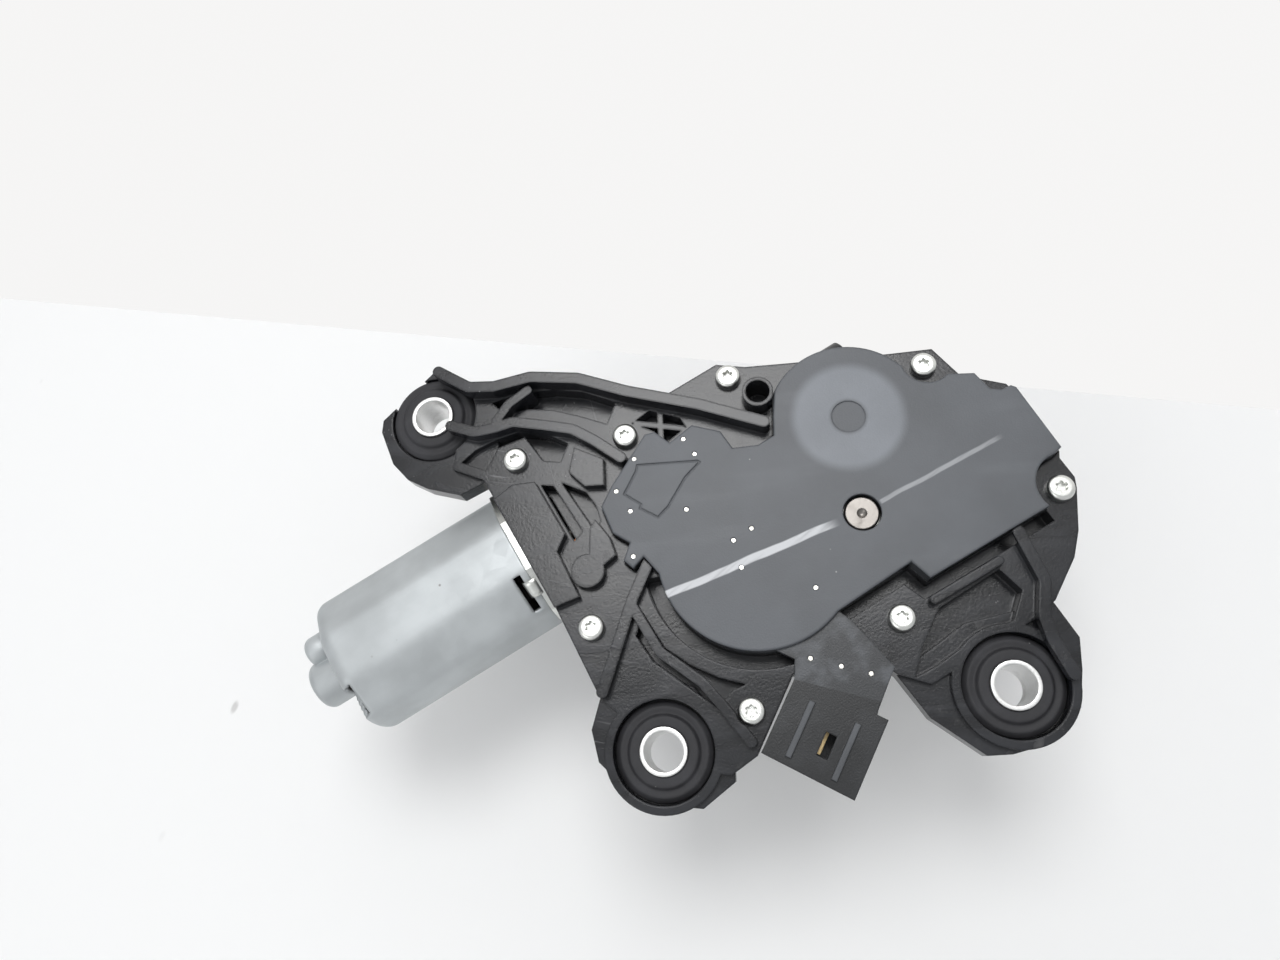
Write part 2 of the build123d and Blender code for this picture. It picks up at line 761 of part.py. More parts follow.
# Lower shell: gear room, motor seat, worm tunnel, screw bosses and spindle tube
axle_boss_z = wheel_bottom_z - face_gap
with BuildPart() as gear_housing:
    with BuildSketch(Plane.XY.offset(floor_z)):
        room_face()
        offset(amount=room_wall)
    extrude(amount=split_z - floor_z)
    with BuildSketch(Plane.XY.offset(split_z - deck_plate)):
        frame_outline()
        offset(amount=-2.0)
    extrude(amount=deck_plate)
    with BuildSketch(along_motor(plate_end_x)):
        box_face(-seat_half, seat_bottom_z - motor_z, seat_half, split_z - motor_z)
    extrude(amount=seat_end_x - plate_end_x)
    with BuildSketch(along_motor(seat_end_x)):
        Circle(tunnel_radius + tunnel_wall)
    extrude(amount=tunnel_end_x - seat_end_x)
    with BuildSketch(Plane.XY.offset(split_z - screw_length + 4)):
        with Locations(*screw_places):
            Circle(screw_boss)
    extrude(amount=screw_length - 4)
    with BuildSketch(Plane.XZ):
        outline_face((tube_radius - 1, floor_z), (24.0, floor_z), (tube_radius - 1, 6.0))
    tube_rib = extrude(amount=1.25, both=True, mode=Mode.PRIVATE)
    with PolarLocations(0, 6):
        add(tube_rib)
    with BuildSketch(Plane.XY):
        Circle(tube_radius)
    extrude(amount=floor_z)
    chamfer(gear_housing.faces().sort_by(Axis.Z)[0].outer_wire().edges(), 0.8)
    with BuildSketch(Plane.XY.offset(room_floor_z)):
        room_face()
    extrude(amount=split_z - room_floor_z, mode=Mode.SUBTRACT)
    with BuildSketch(Plane.XY.offset(floor_z)):
        Circle(tower_radius)
    extrude(amount=tower_z - floor_z)
    with BuildSketch(Plane.XY.offset(floor_z)):
        with Locations(wheel_place):
            Circle(wheel_hub)
    extrude(amount=axle_boss_z - floor_z)
    # bores: bushes and seal in the tube, the axle, the tunnel with its screw, and the brush room
    with BuildSketch(Plane.XY):
        Circle(bush_radius + seat_gap)
    extrude(amount=lower_bush_z + bush_length, mode=Mode.SUBTRACT)
    with BuildSketch(Plane.XY):
        Circle(bush_radius - 1)
    extrude(amount=tower_z, mode=Mode.SUBTRACT)
    with BuildSketch(Plane.XY.offset(tower_z)):
        Circle(bush_radius + seat_gap)
    extrude(amount=-bush_length, mode=Mode.SUBTRACT)
    with BuildSketch(Plane.XY.offset(axle_boss_z)):
        with Locations(wheel_place):
            Circle(axle_radius + seat_gap)
    extrude(amount=floor_z + 1 - axle_boss_z, mode=Mode.SUBTRACT)
    with BuildSketch(along_motor(plate_end_x)):
        can_face(seat_wall)
    extrude(amount=front_bearing_x - plate_end_x, mode=Mode.SUBTRACT)
    with BuildSketch(along_motor(front_bearing_x)):
        Circle(front_bearing_radius + seat_gap)
    extrude(amount=front_bearing_length, mode=Mode.SUBTRACT)
    with BuildSketch(along_motor(front_bearing_x)):
        Circle(tunnel_radius)
    extrude(amount=thrust_screw_x - 0.6 - front_bearing_x, mode=Mode.SUBTRACT)
    with BuildSketch(along_motor(tunnel_end_x)):
        Circle(thrust_screw_radius + seat_gap)
    extrude(amount=thrust_screw_x - 1 - tunnel_end_x, mode=Mode.SUBTRACT)
    with BuildSketch(Plane.XY.offset(split_z)):
        with Locations(*screw_places):
            Circle(screw_radius + seat_gap)
    extrude(amount=-screw_length + frame_thick, mode=Mode.SUBTRACT)
    with BuildSketch(Plane.XY.offset(split_z)):
        with Locations(*ear_places):
            Circle(grommet_radius + collar_gap)
    extrude(amount=-grommet_lip - 2, mode=Mode.SUBTRACT)
    with BuildSketch(Plane.XY.offset(split_z)):
        room_face()
        outer = offset(amount=gasket_inset + gasket_width)
        offset(outer, amount=-gasket_width, mode=Mode.SUBTRACT)
    extrude(amount=-gasket_depth, mode=Mode.SUBTRACT)
gear_housing.part.label = "gear_housing"
export_step(gear_housing.part, "parts/gear_housing.step")

# Gasket between the two shells, round the gear room
with BuildPart() as housing_gasket:
    with BuildSketch(Plane.XY.offset(split_z)):
        room_face()
        outer = offset(amount=gasket_inset + gasket_width - seat_gap)
        offset(outer, amount=2 * seat_gap - gasket_width, mode=Mode.SUBTRACT)
    extrude(amount=-gasket_depth)
housing_gasket.part.label = "housing_gasket"
export_step(housing_gasket.part, "parts/housing_gasket.step")

# Upper shell: deck with pockets and ribs, three ears, the vent pipe and the cover's seat
with BuildPart() as mounting_frame:
    with BuildSketch(Plane.XY.offset(split_z)):
        frame_outline()
    extrude(amount=frame_thick)
    with BuildSketch(Plane.XY.offset(pocket_z)):
        outline_face(
            (-67.5, 83.6),
            (-58.5, 81.2),
            (-50.5, 77.0),
            (-43.8, 71.6),
            (-37.6, 63.6),
            (-43.0, 59.5),
            (-48.3, 66.0),
            (-53.5, 71.5),
            (-60.0, 76.2),
            (-66.0, 78.0),
        )
        outline_face(
            (-83.5, 72.5),
            (-78.5, 73.5),
            (-72.0, 73.0),
            (-65.5, 71.5),
            (-58.5, 66.0),
            (-55.0, 60.5),
            (-59.5, 57.0),
            (-63.5, 60.0),
            (-64.5, 69.0),
            (-72.5, 70.5),
            (-78.5, 66.5),
        )
        outline_face((-62.2, 51.5), (-57.8, 45.5), (-57.4, 40.5), (-58.6, 36.0), (-61.2, 35.4))
        outline_face((-67.4, 54.0), (-64.6, 52.0), (-64.0, 36.4), (-67.4, 35.2))
        outline_face((-37.0, 55.6), (-31.0, 56.2), (-25.0, 49.6), (-25.0, 46.4), (-32.4, 45.4), (-33.0, 50.2))
        outline_face(
            (-61.5, 8.5),
            (-61.2, -2.0),
            (-58.0, -9.0),
            (-53.5, -15.5),
            (-48.5, -20.5),
            (-52.0, -20.0),
            (-57.6, -21.5),
            (-60.8, -14.5),
            (-65.6, -3.2),
            (-66.0, 4.5),
        )
        outline_face(
            (2.6, -29.8),
            (20.6, -29.6),
            (22.0, -36.6),
            (15.6, -41.6),
            (2.9, -40.4),
            (-6.8, -41.0),
            (-12.4, -40.6),
            (-6.2, -35.2),
            (-1.0, -32.0),
        )
    extrude(amount=frame_thick, mode=Mode.SUBTRACT)
    # ears with the wall round each grommet
    with BuildSketch(Plane.XY.offset(ear_bottom_z)):
        outline_face(
            (-74.5, 101.5),
            (-77.4, 103.2),
            (-97.6, 98.0),
            (-99.6, 95.0),
            (-101.0, 84.2),
            (-99.4, 77.6),
            (-95.7, 72.0),
            (-88.5, 65.0),
            (-80.5, 64.5),
            (-72.0, 72.0),
            (-70.3, 91.1),
        )
        outline_face(
            (-81.9, -3.7),
            (-88.0, -9.6),
            (-90.3, -17.4),
            (-88.8, -22.4),
            (-75.8, -38.4),
            (-73.4, -40.1),
            (-63.3, -38.8),
            (-58.0, -30.0),
            (-60.0, -14.0),
            (-70.0, -2.0),
        )
        outline_face(
            (27.0, -42.9),
            (26.8, -53.1),
            (22.4, -59.6),
            (16.6, -66.4),
            (9.6, -68.8),
            (3.5, -68.9),
            (-3.4, -67.0),
            (-8.6, -64.3),
            (-14.7, -50.4),
            (-15.6, -37.8),
            (6.0, -36.0),
        )
    extrude(amount=ear_top_z - ear_bottom_z)
    with BuildSketch(Plane.XY.offset(ear_bottom_z)):
        with Locations(lower_ear, right_ear):
            Circle(grommet_radius + collar_gap + collar_wall)
    extrude(amount=flange_z - ear_bottom_z)
    # ribs
    with BuildSketch(Plane.XY.offset(pocket_z)):
        wall_face(
            3.2,
            (-76.0, 98.5),
            (-70.8, 89.2),
            (-64.5, 85.2),
            (-54.4, 81.9),
            (-43.3, 73.9),
            (-33.8, 62.8),
            (-19.3, 48.4),
            (-7.4, 34.4),
        )
    extrude(amount=tall_rib_z - pocket_z)
    with BuildSketch(Plane.XY.offset(pocket_z)):
        wall_face(
            3.0,
            (-80.6, 82.2),
            (-75.6, 76.6),
            (-70.2, 74.5),
            (-65.0, 73.2),
            (-58.3, 67.6),
            (-52.0, 62.0),
            (-48.6, 56.0),
            (-44.8, 47.4),
        )
        wall_face(2.6, (-57.0, 79.2), (-63.5, 78.6), (-69.0, 76.0))
    extrude(amount=rib_z + 1 - pocket_z)
    with BuildSketch(Plane.XY.offset(flange_z)):
        outline_face(
            (-80.4, 56.6),
            (-74.0, 57.5),
            (-68.3, 54.8),
            (-68.3, 37.4),
            (-72.5, 34.3),
            (-73.4, 20.6),
            (-80.4, 21.7),
        )
        with Locations((-68.1, 25.4)):
            Circle(4.5)
        outline_face((-62.0, 35.0), (-59.4, 36.4), (-58.6, 30.0), (-59.6, 25.0), (-66.0, 24.0), (-66.5, 27.5))
        outline_face((-59.0, 52.0), (-54.2, 57.4), (-49.0, 50.0), (-52.6, 43.4), (-57.2, 46.0))
        wall_face(3.0, (-53.8, 18.4), (-62.0, 12.6), (-80.4, -3.6))
        wall_face(2.6, (-62.8, 12.0), (-62.8, -2.6), (-57.6, -14.6), (-56.2, -22.4), (-54.8, -33.0))
        wall_face(3.0, (29.4, -24.6), (27.2, -37.5), (21.6, -44.4), (19.8, -50.1), (18.9, -59.0))
        wall_face(2.2, (2.2, -27.6), (21.1, -28.0))
    extrude(amount=rib_z - flange_z)
    with BuildSketch(Plane.XY.offset(pocket_z)):
        wall_face(1.6, (-36.0, 55.0), (-26.0, 46.6))
        wall_face(1.6, (-33.0, 46.4), (-28.6, 54.4))
    extrude(amount=flange_z - pocket_z)
    with BuildSketch(Plane.XY.offset(flange_z)):
        with Locations(vent_place):
            Circle(vent_outer)
    extrude(amount=vent_z - flange_z)
    # gear room, wiring chamber and the groove round the cover
    with BuildSketch(Plane.XY.offset(split_z)):
        room_face()
    extrude(amount=frame_thick, mode=Mode.SUBTRACT)
    with BuildSketch(Plane.XY.offset(groove_floor_z)):
        outline_face(
            (-32.0, 27.0),
            (-34.0, 44.5),
            (-37.0, 46.0),
            (-49.5, 39.6),
            (-53.5, 36.6),
            (-53.5, 30.5),
            (-51.5, 26.5),
            (-49.0, 20.5),
            (-44.0, 18.0),
        )
    extrude(amount=frame_thick, mode=Mode.SUBTRACT)
    with BuildSketch(Plane.XY.offset(groove_floor_z)):
        with Locations(room_place):
            ring_face(groove_radius + groove_width, groove_radius)
        outline_face(
            room_place,
            polar(room_place, 60, 161),
            polar(room_place, 80, 225),
            polar(room_place, 60, 290.5),
            mode=Mode.INTERSECT,
        )
        outline_face(
            (-19.6, -17.4),
            (2.7, -17.3),
            (4.2, -23.1),
            (39.4, -23.7),
            (39.4, -26.8),
            (0.9, -26.2),
            (-1.2, -20.4),
            (-18.0, -20.6),
        )
    extrude(amount=frame_thick, mode=Mode.SUBTRACT)
    with BuildSketch(Plane.XY.offset(cover_seat_z)):
        cover_outline()
        offset(amount=cover_gap)
    extrude(amount=vent_z - cover_seat_z, mode=Mode.SUBTRACT)
    with BuildSketch(Plane.XY.offset(cover_seat_z)):
        cover_outline()
        outer = offset(amount=-seal_inset)
        offset(outer, amount=-seal_width, mode=Mode.SUBTRACT)
    extrude(amount=-seal_depth, mode=Mode.SUBTRACT)
    # vent bore with its passage to the gear room, and the passage for the brush leads
    with BuildSketch(Plane.XY.offset(vent_floor_z)):
        with Locations(vent_place):
            Circle(vent_inner)
    extrude(amount=vent_z, mode=Mode.SUBTRACT)
    with BuildSketch(Plane.XY.offset(vent_floor_z)):
        wall_face(2.4, vent_place, (0.5, 37.0), (1.5, 34.0))
    extrude(amount=1.8, mode=Mode.SUBTRACT)
    with BuildSketch(Plane.XY.offset(lead_z - 0.5)):
        box_face(front_bearing_x - 1, lead_y - 1.9, lead_end_x + 0.5, lead_y + 1.9)
    extrude(amount=1.8, mode=Mode.SUBTRACT)
    with BuildSketch(along_motor(plate_end_x)):
        can_face(seat_wall)
    extrude(amount=front_bearing_x - plate_end_x, mode=Mode.SUBTRACT)
    # screw holes, and the seat of each grommet
    with BuildSketch(Plane.XY.offset(split_z)):
        with Locations(*screw_places):
            Circle(screw_radius + seat_gap)
    extrude(amount=frame_thick, mode=Mode.SUBTRACT)
    with BuildSketch(Plane.XY.offset(flange_z)):
        with Locations(*screw_places):
            Circle(screw_head_radius + seat_gap + 0.4)
    extrude(amount=frame_thick, mode=Mode.SUBTRACT)
    with BuildSketch(Plane.XY.offset(ear_bottom_z)):
        with Locations(*ear_places):
            Circle(grommet_waist + seat_gap)
    extrude(amount=frame_thick, mode=Mode.SUBTRACT)
    with BuildSketch(Plane.XY.offset(ear_bottom_z + ear_web)):
        with Locations(*ear_places):
            Circle(grommet_radius + collar_gap)
    extrude(amount=flange_z + 0.1 - ear_bottom_z - ear_web, mode=Mode.SUBTRACT)
mounting_frame.part.label = "mounting_frame"
export_step(mounting_frame.part, "parts/mounting_frame.step")

# Rubber grommets, each clamped round its ear, and the sleeves in them
for grommet_name, place in zip(("left_grommet", "lower_grommet", "right_grommet"), ear_places):
    with BuildPart() as grommet:
        with BuildSketch(Plane(origin=(place[0], place[1], 0), x_dir=(1, 0, 0), z_dir=(0, -1, 0))):
            outline_face(
                (sleeve_radius + seat_gap, ear_bottom_z - grommet_lip),
                (grommet_radius - 1.2, ear_bottom_z - grommet_lip),
                (grommet_radius, ear_bottom_z - grommet_lip + 1.2),
                (grommet_radius, ear_bottom_z),
                (grommet_waist, ear_bottom_z),
                (grommet_waist, ear_bottom_z + ear_web),
                (grommet_radius, ear_bottom_z + ear_web),
                (grommet_radius, flange_z - 2.4),
                (grommet_radius - 1.0, flange_z - 1.4),
                (grommet_bead + 0.6, flange_z - 1.4),
                (grommet_bead, flange_z - 0.4),
                (sleeve_radius + seat_gap, flange_z - 0.4),
            )
        revolve(axis=Axis((place[0], place[1], 0), (0, 0, 1)))
    grommet.part.label = grommet_name
    export_step(grommet.part, f"parts/{grommet_name}.step")

with BuildPart() as mounting_sleeves:
    with BuildSketch(Plane.XY.offset(sleeve_top_z)):
        with Locations(*ear_places):
            ring_face(sleeve_radius, sleeve_bore)
    extrude(amount=-sleeve_length)
mounting_sleeves.part.label = "mounting_sleeves"
export_step(mounting_sleeves.part, "parts/mounting_sleeves.step")

# Pan head screws with a six-lobe recess
with BuildPart() as screw_shape:
    with BuildSketch(Plane.XY):
        Circle(screw_head_radius)
    extrude(amount=screw_head_height)
    fillet(screw_shape.faces().sort_by(Axis.Z)[-1].edges(), 1.2)
    with BuildSketch(Plane.XY):
        Circle(screw_radius)
    extrude(amount=-screw_length)
    with BuildSketch(Plane.XY.offset(screw_head_height)):
        Circle(recess_radius * 0.8)
        with PolarLocations(recess_radius * 0.8, 6):
            Circle(recess_radius * 0.28)
    extrude(amount=-recess_depth, mode=Mode.SUBTRACT)

with BuildPart() as housing_screws:
    with Locations(*[(x, y, flange_z) for x, y in screw_places]):
        add(screw_shape.part)
housing_screws.part.label = "housing_screws"
export_step(housing_screws.part, "parts/housing_screws.step")

# Rear cover with the connector shroud moulded on
inner_pins = [connector_point(shroud_back / 2, k * contact_pitch) for k in (-1, 0, 1)]
with BuildPart() as rear_cover:
    with BuildSketch(Plane.XY.offset(cover_seat_z)):
        cover_outline()
    extrude(amount=cover_thick)
    fillet(rear_cover.faces().sort_by(Axis.Z)[-1].outer_wire().edges(), 0.5)
    with BuildSketch(Plane.XY.offset(flange_z + seat_gap)):
        outline_face(
            (-38.0, -17.0),
            (-20.0, -15.5),
            (-17.7, -21.4),
            (-15.5, -36.0),
            (-24.8, -42.4),
            connector_point(1.0, 9.4),
            connector_point(1.0, -11.9),
            (-35.0, -21.8),
        )
    extrude(amount=shroud_proud - seat_gap)
    with BuildSketch(connector_plane(shroud_top_z)):
        box_face(0, -shroud_width / 2, shroud_length, shroud_width / 2)
    extrude(amount=-shroud_height)
    with BuildSketch(connector_plane(shroud_top_z)):
        box_face(shroud_back, -6.6, shroud_length - 2, -5.2)
        box_face(shroud_back, 5.2, shroud_length - 2, 6.6)
    extrude(amount=0.8)
    # hollow underneath, channel for the conductors and the connector's socket
    with BuildSketch(Plane.XY.offset(cover_seat_z)):
        cover_outline()
        offset(amount=-cover_wall)
    extrude(amount=cover_inner_z - cover_seat_z, mode=Mode.SUBTRACT)
    with BuildSketch(Plane.XY.offset(cover_seat_z)):
        outline_face(
            (-34.4, -13.0),
            (-33.4, -24.4),
            connector_point(shroud_back - 0.8, -8.0),
            connector_point(shroud_back - 0.8, 8.0),
            (-19.2, -35.4),
            (-20.9, -21.0),
            (-18.5, -14.0),
        )
    extrude(amount=cover_inner_z - cover_seat_z, mode=Mode.SUBTRACT)
    with BuildSketch(connector_plane(shroud_top_z - shroud_wall)):
        box_face(shroud_back, shroud_wall - shroud_width / 2, shroud_length, shroud_width / 2 - shroud_wall)
    extrude(amount=2 * shroud_wall - shroud_height, mode=Mode.SUBTRACT)
    with BuildSketch(connector_plane(shroud_top_z)):
        with Locations((latch_out, latch_across)):
            Rectangle(6.0, 2.7)
    extrude(amount=-shroud_wall, mode=Mode.SUBTRACT)
    with BuildSketch(connector_plane(cover_inner_z)):
        with Locations(*[(shroud_back / 2, k * contact_pitch) for k in (-1, 0, 1)]):
            Rectangle(blade_thick + 0.1, blade_width + 0.1)
    extrude(amount=blade_z - blade_thick - cover_inner_z, mode=Mode.SUBTRACT)
    with BuildSketch(connector_plane(blade_z - blade_thick / 2 - running_gap)):
        with Locations(*[(shroud_back * 0.75, k * contact_pitch) for k in (-1, 0, 1)]):
            Rectangle(shroud_back / 2 + 1, blade_width + 0.1)
    extrude(amount=blade_thick + 2 * running_gap, mode=Mode.SUBTRACT)
    # spindle hole, fixture holes over the conductors, and shallow mould marks
    with BuildSketch(Plane.XY.offset(cover_top_z)):
        Circle(spindle_hole)
    extrude(amount=-cover_thick, mode=Mode.SUBTRACT)
    with BuildSketch(Plane.XY.offset(cover_top_z)):
        with Locations(*cover_dots, *neck_dots):
            Circle(dot_radius + running_gap)
    extrude(amount=-cover_roof - 2 * seat_gap, mode=Mode.SUBTRACT)
    with BuildSketch(Plane.XY.offset(cover_top_z)):
        line_face(0.5, *insert_edge, insert_edge[0])
        with Locations(wheel_place):
            Circle(4.4)
    extrude(amount=-0.3, mode=Mode.SUBTRACT)
rear_cover.part.label = "rear_cover"
export_step(rear_cover.part, "parts/rear_cover.step")

with BuildPart() as cover_seal:
    with BuildSketch(Plane.XY.offset(cover_seat_z)):
        cover_outline()
        outer = offset(amount=-seal_inset - seat_gap)
        offset(outer, amount=2 * seat_gap - seal_width, mode=Mode.SUBTRACT)
    extrude(amount=-seal_depth)
cover_seal.part.label = "cover_seal"
export_step(cover_seal.part, "parts/cover_seal.step")

# Conductors under the cover's roof, with a post in each fixture hole, and the connector's blades
track_z = cover_inner_z - track_thick
with BuildPart() as conductor_tracks:
    with BuildSketch(Plane.XY.offset(track_z)):
        line_face(track_width, inner_pins[0], neck_dots[0], cover_dots[8], cover_dots[5], cover_dots[4])
        line_face(
            track_width,
            inner_pins[1],
            neck_dots[1],
            (-27.5, -16.0),
            cover_dots[10],
            cover_dots[7],
            cover_dots[1],
        )
        line_face(
            track_width,
            inner_pins[2],
            neck_dots[2],
            (-23.0, -21.0),
            (-20.0, -13.4),
            (-8.0, -11.5),
            (24.0, -11.5),
            (34.0, -6.0),
            (34.0, 4.0),
            (20.0, 16.0),
        )
        with Locations(*inner_pins, cover_dots[6], cover_dots[7], cover_dots[1], cover_dots[4]):
            Circle(track_width / 2)
    extrude(amount=track_thick)
    with BuildSketch(Plane.XY.offset(cover_inner_z - seat_gap)):
        with Locations(*cover_dots):
            Circle(dot_radius)
    extrude(amount=cover_roof - 0.2)
    with BuildSketch(Plane.XY.offset(cover_inner_z - seat_gap)):
        with Locations(*neck_dots):
            Circle(dot_radius)
    extrude(amount=shroud_top_z - cover_inner_z - 0.2)
conductor_tracks.part.label = "conductor_tracks"
export_step(conductor_tracks.part, "parts/conductor_tracks.step")

with BuildPart() as connector_pins:
    with BuildSketch(connector_plane(track_z)):
        with Locations(*[(shroud_back / 2, k * contact_pitch) for k in (-1, 0, 1)]):
            Rectangle(blade_thick, blade_width)
    extrude(amount=blade_z - blade_thick / 2 - track_z)
    with BuildSketch(connector_plane(blade_z - blade_thick / 2)):
        for k in (-1, 0, 1):
            box_face(
                shroud_back / 2,
                k * contact_pitch - blade_width / 2,
                shroud_length - blade_recess,
                k * contact_pitch + blade_width / 2,
            )
    extrude(amount=blade_thick)
connector_pins.part.label = "connector_pins"
export_step(connector_pins.part, "parts/connector_pins.step")

# Chokes in the wiring chamber with the leads to the brushes, and the capacitor in the side chamber
with BuildPart() as suppression_chokes:
    for place in choke_places:
        turn = math.radians(choke_deg)
        with BuildSketch(
            Plane(
                origin=(place[0], place[1], groove_floor_z + choke_radius + seat_gap),
                x_dir=(-math.sin(turn), math.cos(turn), 0),
                z_dir=(math.cos(turn), math.sin(turn), 0),
            )
        ):
            Circle(choke_radius)
        extrude(amount=choke_length / 2, both=True)
suppression_chokes.part.label = "suppression_chokes"
export_step(suppression_chokes.part, "parts/suppression_chokes.step")

with BuildPart() as brush_leads:
    with BuildSketch(Plane.XY.offset(lead_z)):
        box_face(plate_end_x + 4.4, lead_y + 0.3, lead_end_x, lead_y + 1.5)
        box_face(plate_end_x + 4.4, lead_y - 1.5, lead_end_x, lead_y - 0.3)
    extrude(amount=0.6)
brush_leads.part.label = "brush_leads"
export_step(brush_leads.part, "parts/brush_leads.step")

with BuildPart() as suppression_capacitor:
    with BuildSketch(Plane.XY.offset(room_floor_z)):
        with Locations(capacitor_place):
            RectangleRounded(12.0, 7.0, 1.2)
    extrude(amount=10.0)
    with BuildSketch(Plane.XY.offset(room_floor_z + 9)):
        with Locations(*[(capacitor_place[0] + side * capacitor_leg, capacitor_place[1]) for side in (-1, 1)]):
            Circle(0.4)
    extrude(amount=track_z - room_floor_z - 9 - seat_gap)
suppression_capacitor.part.label = "suppression_capacitor"
export_step(suppression_capacitor.part, "parts/suppression_capacitor.step")

# Spindle bushes, shaft seal, washer and the clip under the lower bush
for bush_name, bottom_z in (("lower_bush", lower_bush_z), ("upper_bush", tower_z - bush_length)):
    with BuildPart() as bush:
        with BuildSketch(Plane.XY.offset(bottom_z)):
            ring_face(bush_radius, spindle_radius + running_gap)
        extrude(amount=bush_length)
        chamfer(bush.edges().filter_by(GeomType.CIRCLE), 0.3)
    bush.part.label = bush_name
    export_step(bush.part, f"parts/{bush_name}.step")

with BuildPart() as shaft_seal:
    with BuildSketch(Plane.XY.offset(seal_z)):
        ring_face(bush_radius, spindle_radius + 2 * running_gap)
    extrude(amount=seal_length)
    with BuildSketch(Plane.XY.offset(seal_z)):
        ring_face(bush_radius - 0.8, spindle_radius + 0.8)
    extrude(amount=seal_length / 2, mode=Mode.SUBTRACT)
shaft_seal.part.label = "shaft_seal"
export_step(shaft_seal.part, "parts/shaft_seal.step")

with BuildPart() as thrust_washer:
    with BuildSketch(Plane.XY.offset(tower_z + seat_gap)):
        ring_face(washer_radius, spindle_radius + running_gap)
    extrude(amount=washer_thick)
thrust_washer.part.label = "thrust_washer"
export_step(thrust_washer.part, "parts/thrust_washer.step")

# Output spindle from its threaded end up to the centre drilling
cone_end = cone_radius - cone_length * math.tan(math.radians(cone_draft_deg))
with BuildPart() as output_spindle:
    with BuildSketch(Plane.XZ):
        outline_face(
            (0, spindle_end_z),
            (thread_radius - 0.7, spindle_end_z),
            (thread_radius, spindle_end_z + 0.7),
            (thread_radius, spindle_end_z + thread_length),
            (neck_radius, spindle_end_z + thread_length),
            (neck_radius, -shank_length - cone_length),
            (cone_end, -shank_length - cone_length),
            (cone_radius, -shank_length),
            (shank_radius, -shank_length),
            (shank_radius, 0),
            (spindle_radius, 0.3),
            (spindle_radius, clip_groove_z),
            (spindle_radius - 0.5, clip_groove_z),
            (spindle_radius - 0.5, clip_groove_z + clip_thick + 0.1),
            (spindle_radius, clip_groove_z + clip_thick + 0.1),
            (spindle_radius, pinion_z),
            (spindle_top_radius, pinion_z),
            (spindle_top_radius, clip_z),
            (spindle_top_radius - 0.4, clip_z),
            (spindle_top_radius - 0.4, clip_z + clip_thick + 0.1),
            (spindle_top_radius, clip_z + clip_thick + 0.1),
            (spindle_top_radius, spindle_top_z - 0.4),
            (spindle_top_radius - 0.4, spindle_top_z),
            (0, spindle_top_z),
        )
    revolve(axis=Axis.Z)
    with BuildSketch(Plane.XY.offset(spindle_top_z)):
        Circle(1.3)
    extrude(amount=-1.6, taper=30, mode=Mode.SUBTRACT)
    with BuildSketch(Plane.XY.offset(-shank_length - 0.2)):
        with PolarLocations(cone_radius, knurl_count):
            Rectangle(2 * knurl_depth, knurl_width)
    extrude(amount=0.4 - cone_length, mode=Mode.SUBTRACT)
output_spindle.part.label = "output_spindle"
export_step(output_spindle.part, "parts/output_spindle.step")

# Clips in the spindle's grooves
for clip_name, groove_z, seat_radius in (
    ("lower_circlip", clip_groove_z, spindle_radius - 0.5),
    ("spindle_circlip", clip_z, spindle_top_radius - 0.4),
):
    with BuildPart() as circlip:
        with BuildSketch(Plane.XY.offset(groove_z + running_gap)):
            ring_face(seat_radius + clip_width, seat_radius + seat_gap)
            with Locations((seat_radius + clip_width / 2, 0)):
                Rectangle(clip_width + 1, clip_mouth, mode=Mode.SUBTRACT)
        extrude(amount=clip_thick)
    circlip.part.label = clip_name
    export_step(circlip.part, f"parts/{clip_name}.step")

# Pinion on the spindle, a tooth gap facing the segment at rest
pinion_first_deg = rocker_rest_deg + 180 / pinion_teeth
with BuildPart() as spindle_pinion:
    with BuildSketch(Plane.XY.offset(pinion_z)):
        Circle(pinion_radius - 1.25 * gear_module)
        gear_teeth(spindle_place, pinion_radius, pinion_teeth, pinion_first_deg, pinion_teeth, gear_module)
        Circle(spindle_top_radius + seat_gap, mode=Mode.SUBTRACT)
    extrude(amount=segment_z + gear_face - pinion_z)
spindle_pinion.part.label = "spindle_pinion"
export_step(spindle_pinion.part, "parts/spindle_pinion.step")

# Coupler: an arm from the crank pin, with the toothed segment at its other end
mesh_deg = angle_to(rest_pivot, spindle_place)
segment_first_deg = mesh_deg - 360 / segment_teeth * 3
bow_place = polar(
    polar(rest_pivot, coupler_length / 2, coupler_deg), coupler_bow, coupler_deg + 90
)
with BuildPart() as segment_coupler:
    with BuildSketch(Plane.XY.offset(segment_z)):
        with Locations(rest_pivot):
            Circle(coupler_boss)
        with Locations(crank_pin_place):
            Circle(coupler_eye)
        with BuildLine():
            ThreePointArc(rest_pivot, bow_place, crank_pin_place)
        trace(line_width=2 * coupler_half)
        fan = segment_radius - 1.25 * gear_module
        fan_first = segment_first_deg - 180 / segment_teeth
        fan_last = segment_first_deg + 360 * (segment_cut_teeth - 0.5) / segment_teeth
        with BuildLine():
            Line(rest_pivot, polar(rest_pivot, fan, fan_first))
            ThreePointArc(*[polar(rest_pivot, fan, d) for d in (fan_first, mesh_deg, fan_last)])
            Line(polar(rest_pivot, fan, fan_last), rest_pivot)
        make_face()
        gear_teeth(
            rest_pivot,
            segment_radius,
            segment_teeth,
            segment_first_deg,
            segment_cut_teeth,
            0.85 * gear_module,
        )
        with Locations(rest_pivot):
            Circle(pivot_radius + running_gap, mode=Mode.SUBTRACT)
        with Locations(crank_pin_place):
            Circle(crank_pin_radius + running_gap, mode=Mode.SUBTRACT)
    extrude(amount=gear_face)
segment_coupler.part.label = "segment_coupler"
export_step(segment_coupler.part, "parts/segment_coupler.step")

